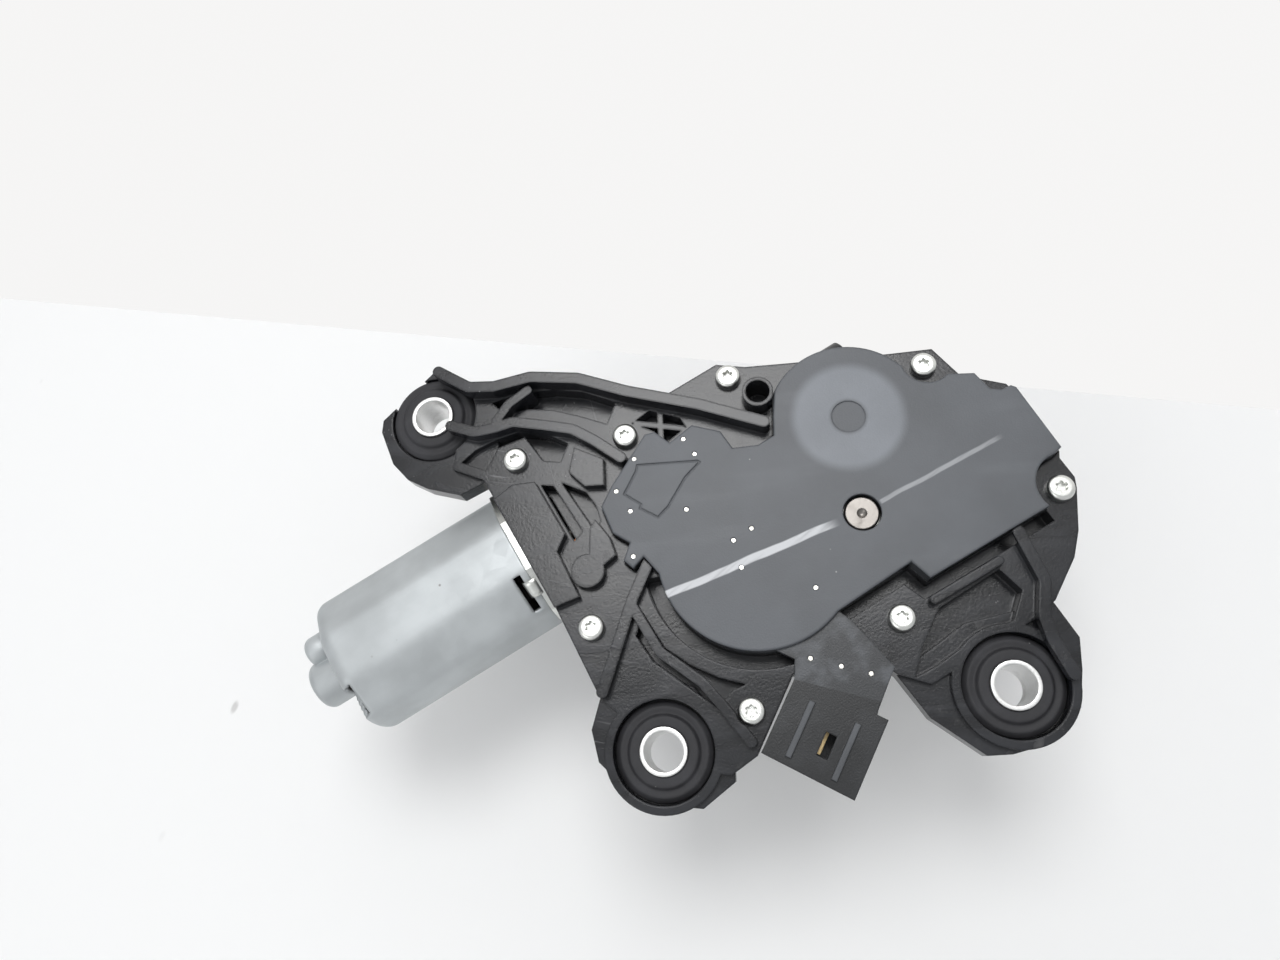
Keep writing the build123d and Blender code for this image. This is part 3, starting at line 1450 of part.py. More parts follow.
# Rocker: a plate from the spindle to the segment's pivot, which holds their teeth in mesh
with BuildPart() as rocker_plate:
    with BuildSketch(Plane.XY.offset(rocker_z)):
        Circle(rocker_end + 1.5)
        with Locations(rest_pivot):
            Circle(rocker_end)
        make_hull()
        Circle(spindle_top_radius + running_gap, mode=Mode.SUBTRACT)
        with Locations(rest_pivot):
            Circle(pivot_radius + seat_gap, mode=Mode.SUBTRACT)
    extrude(amount=rocker_thick)
rocker_plate.part.label = "rocker_plate"
export_step(rocker_plate.part, "parts/rocker_plate.step")

with BuildPart() as pivot_pin:
    with BuildSketch(Plane.XY.offset(segment_z - face_gap)):
        with Locations(rest_pivot):
            Circle(pivot_radius + 1.4)
    extrude(amount=-1.2)
    with BuildSketch(Plane.XY.offset(segment_z - face_gap)):
        with Locations(rest_pivot):
            Circle(pivot_radius)
    extrude(amount=rocker_z + rocker_thick - segment_z + face_gap)
pivot_pin.part.label = "pivot_pin"
export_step(pivot_pin.part, "parts/pivot_pin.step")

# Worm wheel: one tooth gap, cut round the rim, at the worm's lead angle
lead = math.atan2(worm_pitch, 2 * math.pi * worm_radius)
with BuildPart() as tooth_gap:
    with BuildSketch(
        Plane(
            origin=(0, wheel_radius, motor_z),
            x_dir=(math.cos(lead), 0, math.sin(lead)),
            z_dir=(-math.sin(lead), 0, math.cos(lead)),
        )
    ):
        gap_foot = tooth_gap_half - wheel_root_depth * tooth_gap_slope
        gap_mouth = tooth_gap_half + (worm_addendum + 0.3) * tooth_gap_slope
        outline_face(
            (-gap_foot, -wheel_root_depth),
            (gap_foot, -wheel_root_depth),
            (gap_mouth, worm_addendum + 0.3),
            (-gap_mouth, worm_addendum + 0.3),
        )
    extrude(amount=wheel_face, both=True)

with BuildPart() as worm_wheel:
    with BuildSketch(Plane.XY.offset(wheel_bottom_z)):
        with Locations(wheel_place):
            Circle(wheel_tip)
    extrude(amount=wheel_face)
    with Locations(wheel_place):
        with PolarLocations(0, wheel_teeth):
            add(tooth_gap.part, mode=Mode.SUBTRACT)
    with BuildSketch(Plane.XY.offset(wheel_bottom_z)):
        with Locations(wheel_place):
            ring_face(wheel_radius - wheel_root_depth - 2.4, wheel_hub)
    extrude(amount=wheel_face - wheel_web, mode=Mode.SUBTRACT)
    with BuildSketch(Plane.XY.offset(wheel_bottom_z)):
        with Locations(wheel_place):
            Circle(axle_radius + running_gap)
    extrude(amount=wheel_face, mode=Mode.SUBTRACT)
    with BuildSketch(Plane.XY.offset(wheel_top_z)):
        with Locations(crank_pin_place):
            Circle(crank_pin_radius + seat_gap)
    extrude(amount=-wheel_web + 1, mode=Mode.SUBTRACT)
worm_wheel.part.label = "worm_wheel"
export_step(worm_wheel.part, "parts/worm_wheel.step")

with BuildPart() as crank_pin:
    with BuildSketch(Plane.XY.offset(wheel_top_z - wheel_web + 1)):
        with Locations(crank_pin_place):
            Circle(crank_pin_radius)
    extrude(amount=crank_top_z - wheel_top_z + wheel_web - 1)
    chamfer(crank_pin.faces().sort_by(Axis.Z)[-1].edges(), 0.3)
crank_pin.part.label = "crank_pin"
export_step(crank_pin.part, "parts/crank_pin.step")

with BuildPart() as wheel_axle:
    with BuildSketch(Plane.XY.offset(floor_z + 1 + seat_gap)):
        with Locations(wheel_place):
            Circle(axle_radius)
    extrude(amount=crank_top_z - floor_z - 1 - seat_gap)
    chamfer(wheel_axle.edges().filter_by(GeomType.CIRCLE), 0.4)
wheel_axle.part.label = "wheel_axle"
export_step(wheel_axle.part, "parts/wheel_axle.step")

# Park switch: a contact ring with an open sector on the wheel, and two spring fingers
with BuildPart() as contact_ring:
    with BuildSketch(Plane.XY.offset(wheel_top_z)):
        with Locations(wheel_place):
            ring_face(contact_outer, contact_inner)
        outline_face(
            polar(wheel_place, 8, 200),
            polar(wheel_place, 20, 185),
            polar(wheel_place, 20, 215),
            mode=Mode.SUBTRACT,
        )
    extrude(amount=contact_thick)
contact_ring.part.label = "contact_ring"
export_step(contact_ring.part, "parts/contact_ring.step")

finger_z = wheel_top_z + contact_thick + running_gap
with BuildPart() as park_contacts:
    for finger_deg in (38.0, 62.0):
        tip_place = polar(wheel_place, (contact_inner + contact_outer) / 2, finger_deg)
        root_place = polar(wheel_place, wheel_room_radius - 1.6, finger_deg)
        with BuildSketch(Plane.XY.offset(finger_z)):
            line_face(1.6, tip_place, root_place)
        extrude(amount=0.4)
        with BuildSketch(Plane.XY.offset(finger_z)):
            with Locations(Location((root_place[0], root_place[1], 0), (0, 0, finger_deg))):
                Rectangle(0.5, 1.6)
        extrude(amount=cover_inner_z - finger_z)
park_contacts.part.label = "park_contacts"
export_step(park_contacts.part, "parts/park_contacts.step")
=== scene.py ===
"""Rear wiper motor: finishes and detailed pieces over the fixed frame, with a plain studio."""

import json
import math

import bmesh
import bpy
import numpy as np
from mathutils import Matrix, Vector


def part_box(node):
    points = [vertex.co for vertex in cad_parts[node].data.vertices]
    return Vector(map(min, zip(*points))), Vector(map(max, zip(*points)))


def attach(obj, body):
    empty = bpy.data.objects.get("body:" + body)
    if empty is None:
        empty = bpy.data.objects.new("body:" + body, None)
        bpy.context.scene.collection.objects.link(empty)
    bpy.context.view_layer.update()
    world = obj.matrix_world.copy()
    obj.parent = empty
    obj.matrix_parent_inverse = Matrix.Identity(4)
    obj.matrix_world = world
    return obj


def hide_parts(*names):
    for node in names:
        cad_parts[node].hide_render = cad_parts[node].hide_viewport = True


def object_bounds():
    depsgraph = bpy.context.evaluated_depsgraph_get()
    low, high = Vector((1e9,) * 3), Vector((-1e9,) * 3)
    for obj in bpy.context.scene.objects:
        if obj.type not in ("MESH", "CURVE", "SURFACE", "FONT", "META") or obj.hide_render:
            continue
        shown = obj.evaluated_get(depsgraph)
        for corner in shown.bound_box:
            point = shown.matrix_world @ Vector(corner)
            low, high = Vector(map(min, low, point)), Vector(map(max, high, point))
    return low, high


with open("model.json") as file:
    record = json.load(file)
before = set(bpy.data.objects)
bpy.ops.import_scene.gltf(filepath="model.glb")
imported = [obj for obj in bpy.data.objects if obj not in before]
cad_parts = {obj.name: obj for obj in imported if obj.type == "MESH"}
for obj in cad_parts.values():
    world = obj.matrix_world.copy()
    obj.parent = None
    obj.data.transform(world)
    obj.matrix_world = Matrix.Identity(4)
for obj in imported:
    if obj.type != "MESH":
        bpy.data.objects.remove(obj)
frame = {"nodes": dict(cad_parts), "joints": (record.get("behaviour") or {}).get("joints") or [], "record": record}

bl_info = {
    "name": "Rear wiper motor",
    "version": (1, 0, 0),
    "blender": (4, 5, 0),
    "location": "View3D > Sidebar > Wiper motor",
    "description": "Finishes, detailed pieces and studio of a rear wiper motor",
    "category": "Object",
}

MM = 0.001
CAD_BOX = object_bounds()
NODES = frame["nodes"]
MOUNTS = {m["name"]: m for m in frame["record"]["mounts"]}
JOINTS = {j["name"]: j for j in frame["joints"]}
EARS = ("left", "lower", "right")
SENSOR = 36.0
PICTURE = (1280, 960)
FLOOR_EDGE = ((0, 298), (1280, 410))


def middle(node):
    """The middle of a node's box, as an array in metres."""
    low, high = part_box(node)
    return (np.array(low) + np.array(high)) / 2


def ear_place(ear):
    """The place of an ear's sleeve, at the middle of its bore."""
    return np.array(MOUNTS[f"{ear}_sleeve_bore"]["pos_m"])


class MotorColours(bpy.types.PropertyGroup):
    """Colours of the finishes, as they would look in white light."""

    shell: bpy.props.FloatVectorProperty(
        name="Shells", description="Black plastic of both shells", subtype="COLOR",
        default=(0.014, 0.0148, 0.0175)
    )
    cover: bpy.props.FloatVectorProperty(
        name="Cover", description="Grey plastic of the rear cover", subtype="COLOR",
        default=(0.095, 0.102, 0.113)
    )
    rubber: bpy.props.FloatVectorProperty(
        name="Rubber", description="Rubber of the mounting grommets", subtype="COLOR",
        default=(0.03, 0.03, 0.033)
    )
    zinc: bpy.props.FloatVectorProperty(
        name="Zinc", description="Zinc plating of the motor can", subtype="COLOR",
        default=(0.5, 0.525, 0.535)
    )
    bright: bpy.props.FloatVectorProperty(
        name="Bright steel", description="Bright plated steel of screws and end plate", subtype="COLOR",
        default=(0.78, 0.79, 0.76)
    )
    ground: bpy.props.FloatVectorProperty(
        name="Ground steel", description="Ground steel of shafts and levers", subtype="COLOR",
        default=(0.24, 0.225, 0.21)
    )
    aluminium: bpy.props.FloatVectorProperty(
        name="Aluminium", description="Turned aluminium of the sleeves", subtype="COLOR",
        default=(0.86, 0.86, 0.85)
    )
    copper: bpy.props.FloatVectorProperty(
        name="Copper", description="Enamelled copper wire", subtype="COLOR", default=(0.62, 0.24, 0.1)
    )
    brass: bpy.props.FloatVectorProperty(
        name="Brass", description="Stamped brass of contacts", subtype="COLOR", default=(0.72, 0.55, 0.3)
    )
    bronze: bpy.props.FloatVectorProperty(
        name="Bronze", description="Sintered bronze of bushes", subtype="COLOR",
        default=(0.42, 0.25, 0.12)
    )
    acetal: bpy.props.FloatVectorProperty(
        name="Acetal", description="Natural plastic of the worm wheel", subtype="COLOR",
        default=(0.74, 0.71, 0.62)
    )


class StudioSettings(bpy.types.PropertyGroup):
    """Camera and lamps."""

    lens: bpy.props.FloatProperty(
        name="Lens", description="Focal length on a 36 mm sensor", default=25.31, unit="CAMERA"
    )
    camera_place: bpy.props.FloatVectorProperty(
        name="Camera", description="Place of the camera", subtype="XYZ", unit="LENGTH",
        default=(-0.0534, -0.0387, 0.2799),
    )
    camera_right: bpy.props.FloatVectorProperty(
        name="Camera right", description="Direction to the right of the picture", subtype="DIRECTION",
        default=(0.851, -0.507, -0.136),
    )
    camera_back: bpy.props.FloatVectorProperty(
        name="Camera back", description="Direction from the picture to the eye", subtype="DIRECTION",
        default=(-0.040, -0.322, 0.946),
    )
    key_strength: bpy.props.FloatProperty(
        name="Key lamp", description="Power of the key lamp in watts", default=5.5
    )
    fill_strength: bpy.props.FloatProperty(
        name="Fill lamp", description="Power of the fill lamp in watts", default=1.5
    )
    sky_strength: bpy.props.FloatProperty(
        name="Sky", description="Strength of the surrounding light", default=0.64
    )


class MotorSizes(bpy.types.PropertyGroup):
    """Sizes of the detailed pieces, in millimetres unless they have a unit of their own."""

    can_flat: bpy.props.FloatProperty(
        name="Can flat", description="Half width of the can's flats", default=7.3
    )
    can_bend: bpy.props.FloatProperty(
        name="Can bend", description="How softly the can's edges bend", default=1.5
    )
    can_round: bpy.props.FloatProperty(
        name="Can round", description="Radius round the can's closed end", default=4.0
    )
    can_wall: bpy.props.FloatProperty(
        name="Can wall", description="Thickness of the drawn sheet", default=1.4
    )
    boss_radius: bpy.props.FloatProperty(
        name="Boss radius", description="Bearing boss of the can", default=7.0
    )
    boss_length: bpy.props.FloatProperty(
        name="Boss length", description="How far the boss stands out", default=10.5
    )
    lobe_radius: bpy.props.FloatProperty(
        name="Lobe radius", description="Smaller lobe by the boss", default=4.6
    )
    thread_pitch: bpy.props.FloatProperty(
        name="Thread pitch", description="Thread of the spindle", default=1.25
    )
    thread_depth: bpy.props.FloatProperty(
        name="Thread depth", description="Depth of that thread", default=0.72
    )
    knurls: bpy.props.IntProperty(
        name="Knurls", description="Grooves round the spindle's cone", default=36
    )
    knurl_depth: bpy.props.FloatProperty(
        name="Knurl depth", description="Depth of those grooves", default=0.32
    )


class Wire:
    """One socket of a finish. Arithmetic on it adds Math nodes to the finish."""

    def __init__(self, finish, socket):
        self.finish = finish
        self.socket = socket

    def maths(self, operation, *values):
        """A Math node's result."""
        return self.finish.node("ShaderNodeMath", {"operation": operation}, dict(enumerate(values)))

    def __add__(self, other):
        return self.maths("ADD", self, other)

    def __radd__(self, other):
        return self.maths("ADD", other, self)

    def __sub__(self, other):
        return self.maths("SUBTRACT", self, other)

    def __rsub__(self, other):
        return self.maths("SUBTRACT", other, self)

    def __mul__(self, other):
        return self.maths("MULTIPLY", self, other)

    def __rmul__(self, other):
        return self.maths("MULTIPLY", other, self)

    def __truediv__(self, other):
        return self.maths("DIVIDE", self, other)

    def __pow__(self, other):
        return self.maths("POWER", self, other)

    def __abs__(self):
        return self.maths("ABSOLUTE", self)

    def clamped(self):
        """The value held between nought and one."""
        return self.maths("MINIMUM", self.maths("MAXIMUM", self, 0.0), 1.0)

    def step(self, low, high):
        """Nought below low, one above high, and smooth between them."""
        return self.finish.node(
            "ShaderNodeMapRange",
            {"interpolation_type": "SMOOTHSTEP"},
            {"Value": self, "From Min": low, "From Max": high, "To Min": 0.0, "To Max": 1.0},
        )


class Finish:
    """A procedural material on Object coordinates, around one Principled shader."""

    def __init__(self, name, **constants):
        self.material = bpy.data.materials.new(name)
        self.material.use_nodes = True
        self.tree = self.material.node_tree
        self.shader = self.tree.nodes["Principled BSDF"]
        for key, value in constants.items():
            self.shader.inputs[key.replace("_", " ")].default_value = value
        self.place = self.node("ShaderNodeTexCoord", {}, {}, "Object")

    def node(self, kind, settings, sockets, output=0):
        """Adds a node: first its settings, then the values or links of its sockets."""
        made = self.tree.nodes.new(kind)
        for key, value in settings.items():
            setattr(made, key, value)
        for key, value in sockets.items():
            if isinstance(value, Wire):
                self.tree.links.new(value.socket, made.inputs[key])
            else:
                made.inputs[key].default_value = value
        return Wire(self, made.outputs[output])

    def feed(self, name, wire):
        """Links a varying value to the shader."""
        self.tree.links.new(wire.socket, self.shader.inputs[name])

    def axis(self, index):
        """One coordinate of the object's space, in metres."""
        return self.node("ShaderNodeSeparateXYZ", {}, {"Vector": self.place}, index)

    def stretched(self, scale, turn=(0.0, 0.0, 0.0)):
        """Coordinates turned, then scaled differently along each axis."""
        turned = self.node("ShaderNodeMapping", {}, {"Vector": self.place, "Rotation": turn})
        return self.node("ShaderNodeMapping", {}, {"Vector": turned, "Scale": scale})

    def noise(self, scale, detail=3.0, vector=None, distortion=0.0):
        """Noise from nought to one. The scale is in cycles per metre."""
        where = vector or self.place
        return self.node(
            "ShaderNodeTexNoise",
            {},
            {"Vector": where, "Scale": scale, "Detail": detail, "Distortion": distortion},
            "Fac",
        )

    def cells(self, scale, vector=None):
        """Distance from the middle of random cells."""
        where = vector or self.place
        return self.node("ShaderNodeTexVoronoi", {}, {"Vector": where, "Scale": scale}, "Distance")

    def blend(self, factor, first, second):
        """A mix of two colours, each a wire or a triple."""
        ends = [c if isinstance(c, Wire) else (*c, 1.0) for c in (first, second)]
        return self.node("ShaderNodeMix", {"data_type": "RGBA"}, {0: factor, 6: ends[0], 7: ends[1]}, 2)

    def soft_edges(self, radius):
        """A normal that rounds sharp edges over a radius."""
        return self.node("ShaderNodeBevel", {"samples": 4}, {"Radius": radius}, "Normal")

    def bump(self, height, strength, distance, normal=None):
        """Feeds the normal with a bump of a height map."""
        sockets = {"Height": height, "Strength": strength, "Distance": distance}
        if normal is not None:
            sockets["Normal"] = normal
        self.feed("Normal", self.node("ShaderNodeBump", {}, sockets))


def scaled(colour, factor):
    """A colour made lighter or darker."""
    return tuple(min(1.0, c * factor) for c in colour)


def shell_plastic(name, colour, shine, edge):
    """Glass-filled black plastic: faint flow streaks, wiped dust, hair scratches and a satin skin."""
    finish = Finish(name, Specular_IOR_Level=0.5)
    flow = finish.noise(38.0, 4.0, finish.stretched((1.0, 3.2, 1.0), (0.0, 0.0, 0.5)), 1.2)
    dust = finish.noise(230.0, 6.0).step(0.55, 0.8) * finish.noise(32.0, 2.0).step(0.42, 0.7)
    hairs = finish.noise(900.0, 2.0, finish.stretched((0.06, 1.0, 1.0), (0.0, 0.0, 0.7))).step(0.66, 0.74)
    across = finish.noise(800.0, 2.0, finish.stretched((1.0, 0.05, 1.0), (0.0, 0.0, 0.25))).step(0.67, 0.75)
    specks = 1.0 - finish.cells(420.0).step(0.05, 0.12)
    rare = finish.noise(60.0, 1.0).step(0.56, 0.64)
    wear = (hairs * 0.3 + across * 0.22) * finish.noise(55.0, 2.0).step(0.5, 0.7) + specks * rare * 0.35
    tone = finish.blend(flow.step(0.35, 0.7), scaled(colour, 0.75), scaled(colour, 1.5))
    tone = finish.blend(dust * 0.14, tone, (0.32, 0.31, 0.3))
    finish.feed("Base Color", finish.blend(wear.clamped(), tone, (0.3, 0.3, 0.31)))
    finish.feed("Roughness", (shine + flow * 0.12 + dust * 0.25 + wear * 0.2).clamped())
    grain = finish.noise(1500.0, 3.0) * 0.6 + flow * 0.8
    finish.bump(grain, 0.16, 0.0004, finish.soft_edges(edge))
    return finish.material


def stroke(finish, x, y, start, end, half):
    """A wavering stroke between two places in millimetres: one within half its width, nought outside it."""
    run = np.array(end) - np.array(start)
    length = float(np.linalg.norm(run))
    along = run / length
    t = ((x - start[0] * MM) * along[0] + (y - start[1] * MM) * along[1]) / (length * MM)
    off = (x - start[0] * MM) * -along[1] + (y - start[1] * MM) * along[0]
    waver = (finish.noise(70.0, 2.0) - 0.5) * 0.0012
    band = abs(off + waver).step((half + 0.2) * MM, (half - 0.25) * MM)
    return band * t.step(-0.005, 0.015) * t.step(1.005, 0.9)


def cover_plastic(colour):
    """Satin grey plastic: fine grain, a pale ring of painted sheen over the wheel's bulge, wiped smears, a long
    scuff, and painted shade that darkens the walls below the neck, darkest on the connector shroud.
    """
    finish = Finish("cover_plastic", Specular_IOR_Level=0.5)
    x = finish.axis(0)
    y = finish.axis(1)
    wheel = middle("worm_wheel")
    ring = ((x - wheel[0]) ** 2.0 + (y - wheel[1]) ** 2.0) ** 0.5
    clouds = finish.noise(45.0, 4.0)
    # painted sheen: a pale ring over the cover's bulge above the worm wheel
    painted_sheen_ring = ring.step(0.0162, 0.0128) * ring.step(0.004, 0.0056) * (0.35 + 0.65 * clouds)
    smear = finish.noise(60.0, 3.0, finish.stretched((0.35, 1.6, 1.0), (0.0, 0.0, 0.5)))
    fine = finish.noise(2200.0, 3.0)
    strong = stroke(finish, x, y, (-55.5, 8.9), (-6.1, 1.1), 1.0)
    faint = stroke(finish, x, y, (5.2, -0.2), (41.5, -2.4), 0.6)
    streaks = finish.noise(520.0, 3.0, finish.stretched((0.12, 1.0, 1.0), (0.0, 0.0, -0.16))).step(0.28, 0.56)
    scuff = ((strong + faint * 0.45) * (0.6 + 0.4 * streaks)).clamped()
    tone = finish.blend(clouds.step(0.3, 0.75), scaled(colour, 0.86), scaled(colour, 1.12))
    tone = finish.blend(smear.step(0.55, 0.8) * 0.2, tone, scaled(colour, 1.9))
    # the painted sheen ring lightens the tone
    tone = finish.blend(painted_sheen_ring * 0.8, tone, scaled(colour, 2.9))
    specks = (1.0 - finish.cells(300.0).step(0.03, 0.09)) * finish.noise(40.0, 1.0).step(0.6, 0.66)
    tone = finish.blend(specks * 0.5, tone, (0.5, 0.5, 0.5))
    outward = (-0.717, -0.697)
    neck_top = 51.0 * MM
    shroud_start = 45.0 * MM
    # painted shade: the cover's walls below the neck are made darker, standing in for the shadow along the cover's
    # edge
    neck = finish.axis(2).step(neck_top + 0.4 * MM, neck_top)
    shroud = neck * (x * outward[0] + y * outward[1]).step(shroud_start, shroud_start + 0.3 * MM)
    mottled = finish.noise(130.0, 3.0).step(0.42, 0.62)
    # painted shade on the walls below the neck
    tone = finish.blend(neck, tone, finish.blend(mottled, scaled(colour, 0.3), scaled(colour, 0.75)))
    # darker still on the walls of the connector shroud
    tone = finish.blend(shroud, tone, finish.blend(mottled, scaled(colour, 0.13), scaled(colour, 0.2)))
    finish.feed("Base Color", finish.blend(scuff, tone, (0.62, 0.63, 0.65)))
    finish.feed("Roughness", (0.44 + clouds * 0.1 + scuff * 0.3 - smear * 0.08 - neck * 0.12).clamped())
    finish.bump(fine * 0.7 + scuff * 0.6, 0.2, 0.0003, finish.soft_edges(0.0005))
    return finish.material


def mount_rubber(name, colour):
    """Moulded rubber: matt, slightly dusty, with a faint grain."""
    finish = Finish(name, Specular_IOR_Level=0.35)
    bloom = finish.noise(120.0, 4.0).step(0.4, 0.75)
    pits = finish.noise(900.0, 4.0)
    specks = (1.0 - finish.cells(500.0).step(0.04, 0.1)) * finish.noise(90.0, 1.0).step(0.56, 0.62)
    tone = finish.blend(bloom, colour, scaled(colour, 1.7))
    finish.feed("Base Color", finish.blend(specks * 0.5, tone, (0.5, 0.5, 0.48)))
    finish.feed("Roughness", 0.6 + bloom * 0.2)
    finish.bump(pits, 0.3, 0.0002)
    return finish.material


def zinc_steel(colour):
    """Zinc plated drawn steel: dull spangle, fine lines along the draw and a few dark specks."""
    finish = Finish("zinc_steel")
    spangle = finish.node(
        "ShaderNodeTexVoronoi",
        {"feature": "F1"},
        {"Vector": finish.place, "Scale": 260.0, "Randomness": 1.0},
        "Color",
    )
    facet = finish.node("ShaderNodeSeparateColor", {}, {"Color": spangle}, 0)
    drawn = finish.noise(700.0, 3.0, finish.stretched((0.04, 1.0, 1.0)))
    cloud = finish.noise(60.0, 4.0)
    specks = (1.0 - finish.cells(180.0).step(0.03, 0.09)) * finish.noise(50.0, 1.0).step(0.55, 0.62)
    tone = finish.blend(cloud.step(0.3, 0.7), scaled(colour, 0.9), scaled(colour, 1.1))
    tone = finish.blend(facet * 0.14, tone, scaled(colour, 1.3))
    tone = finish.blend(specks * 0.6, tone, (0.12, 0.1, 0.08))
    finish.feed("Base Color", tone)
    finish.feed("Metallic", 0.72 - specks * 0.5)
    finish.feed("Roughness", (0.42 + facet * 0.1 + drawn * 0.12).clamped())
    finish.bump(facet * 0.4 + drawn * 0.6, 0.12, 0.0002, finish.soft_edges(0.0006))
    return finish.material


def plain_metal(name, colour, roughness, edge=0.0003, lines=(1.0, 1.0, 1.0), tarnish=(0.2, 0.18, 0.16)):
    """Machined or stamped metal: tool lines, a little tarnish and rounded edges."""
    finish = Finish(name, Metallic=1.0)
    tool = finish.noise(1400.0, 3.0, finish.stretched(lines))
    stain = finish.noise(160.0, 5.0).step(0.5, 0.8)
    tone = finish.blend(tool, scaled(colour, 0.88), scaled(colour, 1.08))
    finish.feed("Base Color", finish.blend(stain * 0.3, tone, tarnish))
    finish.feed("Roughness", (roughness + tool * 0.12 + stain * 0.2).clamped())
    finish.bump(tool, 0.12, 0.0002, finish.soft_edges(edge))
    return finish.material


def plain_plastic(name, colour, roughness, grain=1200.0):
    """Moulded plastic of an inner part: slight cloudiness and fine grain."""
    finish = Finish(name, Specular_IOR_Level=0.45)
    cloud = finish.noise(90.0, 4.0)
    fine = finish.noise(grain, 3.0)
    finish.feed("Base Color", finish.blend(cloud.step(0.3, 0.7), scaled(colour, 0.85), scaled(colour, 1.12)))
    finish.feed("Roughness", (roughness + fine * 0.15).clamped())
    finish.bump(fine, 0.15, 0.0002, finish.soft_edges(0.0003))
    return finish.material


def laminated_iron():
    """Electrical steel sheets seen edge on: fine dark lines across the shaft."""
    finish = Finish("laminated_iron", Metallic=0.9)
    sheets = finish.node(
        "ShaderNodeTexWave",
        {"bands_direction": "X"},
        {"Vector": finish.place, "Scale": 320.0, "Distortion": 0.4},
        "Fac",
    )
    rust = finish.noise(250.0, 5.0).step(0.55, 0.8)
    tone = finish.blend(sheets, (0.14, 0.14, 0.145), (0.32, 0.32, 0.33))
    finish.feed("Base Color", finish.blend(rust * 0.4, tone, (0.22, 0.13, 0.09)))
    finish.feed("Roughness", 0.45 + rust * 0.3)
    finish.bump(sheets, 0.25, 0.0002)
    return finish.material


def paint(material, *names):
    """Gives CAD nodes a material."""
    for name in names:
        data = NODES[name].data
        data.materials.clear()
        data.materials.append(material)


def softened(corners, count, spread):
    """Even steps round a closed outline, each point averaged with its neighbours.

    The outline is walked in equal steps, and its Fourier terms are multiplied by a bell curve, which
    averages each point over about spread to either side.
    """
    ring = np.vstack([corners, corners[:1]])
    run = np.concatenate([[0.0], np.cumsum(np.linalg.norm(np.diff(ring, axis=0), axis=1))])
    walk = np.linspace(0.0, run[-1], count, endpoint=False)
    even = np.column_stack([np.interp(walk, run, ring[:, k]) for k in (0, 1)])
    waves = np.fft.rfftfreq(count, run[-1] / count)
    bell = np.exp(-2 * (math.pi * waves * spread) ** 2)
    return np.fft.irfft(np.fft.rfft(even, axis=0) * bell[:, None], count, axis=0)


def woven(shape, loop):
    """The quads over a grid. Its columns close into rings, and with loop its rows do too."""
    index = np.arange(shape[0] * shape[1]).reshape(shape[:2])
    if loop:
        index = np.vstack([index, index[:1]])
    across = np.roll(index, -1, axis=1)
    return np.stack([index[:-1], across[:-1], across[1:], index[1:]], axis=-1).reshape(-1, 4)


def turned(profile, place, count, loop=True):
    """A profile of radius and height about an upright axis: radius times the cosine and sine of the turn."""
    turn = np.linspace(0.0, 2 * math.pi, count, endpoint=False)
    radius = profile[:, 0][:, None]
    height = np.broadcast_to(profile[:, 1][:, None], (len(profile), count))
    grid = np.stack([radius * np.cos(turn) + place[0], radius * np.sin(turn) + place[1], height], axis=-1)
    return grid.reshape(-1, 3), woven(grid.shape, loop)


def joined(*meshes):
    """Several pairs of points and quads as one."""
    starts = np.cumsum([0] + [len(points) for points, _ in meshes])
    return (
        np.vstack([points for points, _ in meshes]),
        np.vstack([quads + start for (_, quads), start in zip(meshes, starts)]),
    )


def made_piece(name, mesh, material, body, slot, *replaced):
    """A piece from points and quads: doubles merged, faces outward, smooth between sharp edges."""
    points, quads = mesh
    data = bpy.data.meshes.new(name)
    data.from_pydata(points.tolist(), [], quads.tolist())
    shape = bmesh.new()
    shape.from_mesh(data)
    bmesh.ops.remove_doubles(shape, verts=shape.verts, dist=1e-6)
    bmesh.ops.recalc_face_normals(shape, faces=shape.faces)
    shape.to_mesh(data)
    shape.free()
    data.polygons.foreach_set("use_smooth", np.ones(len(data.polygons), bool))
    data.set_sharp_from_angle(angle=math.radians(38))
    data.materials.append(material)
    piece = bpy.data.objects.new(name, data)
    bpy.context.scene.collection.objects.link(piece)
    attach(piece, body)
    if replaced:
        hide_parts(*replaced)
    return piece


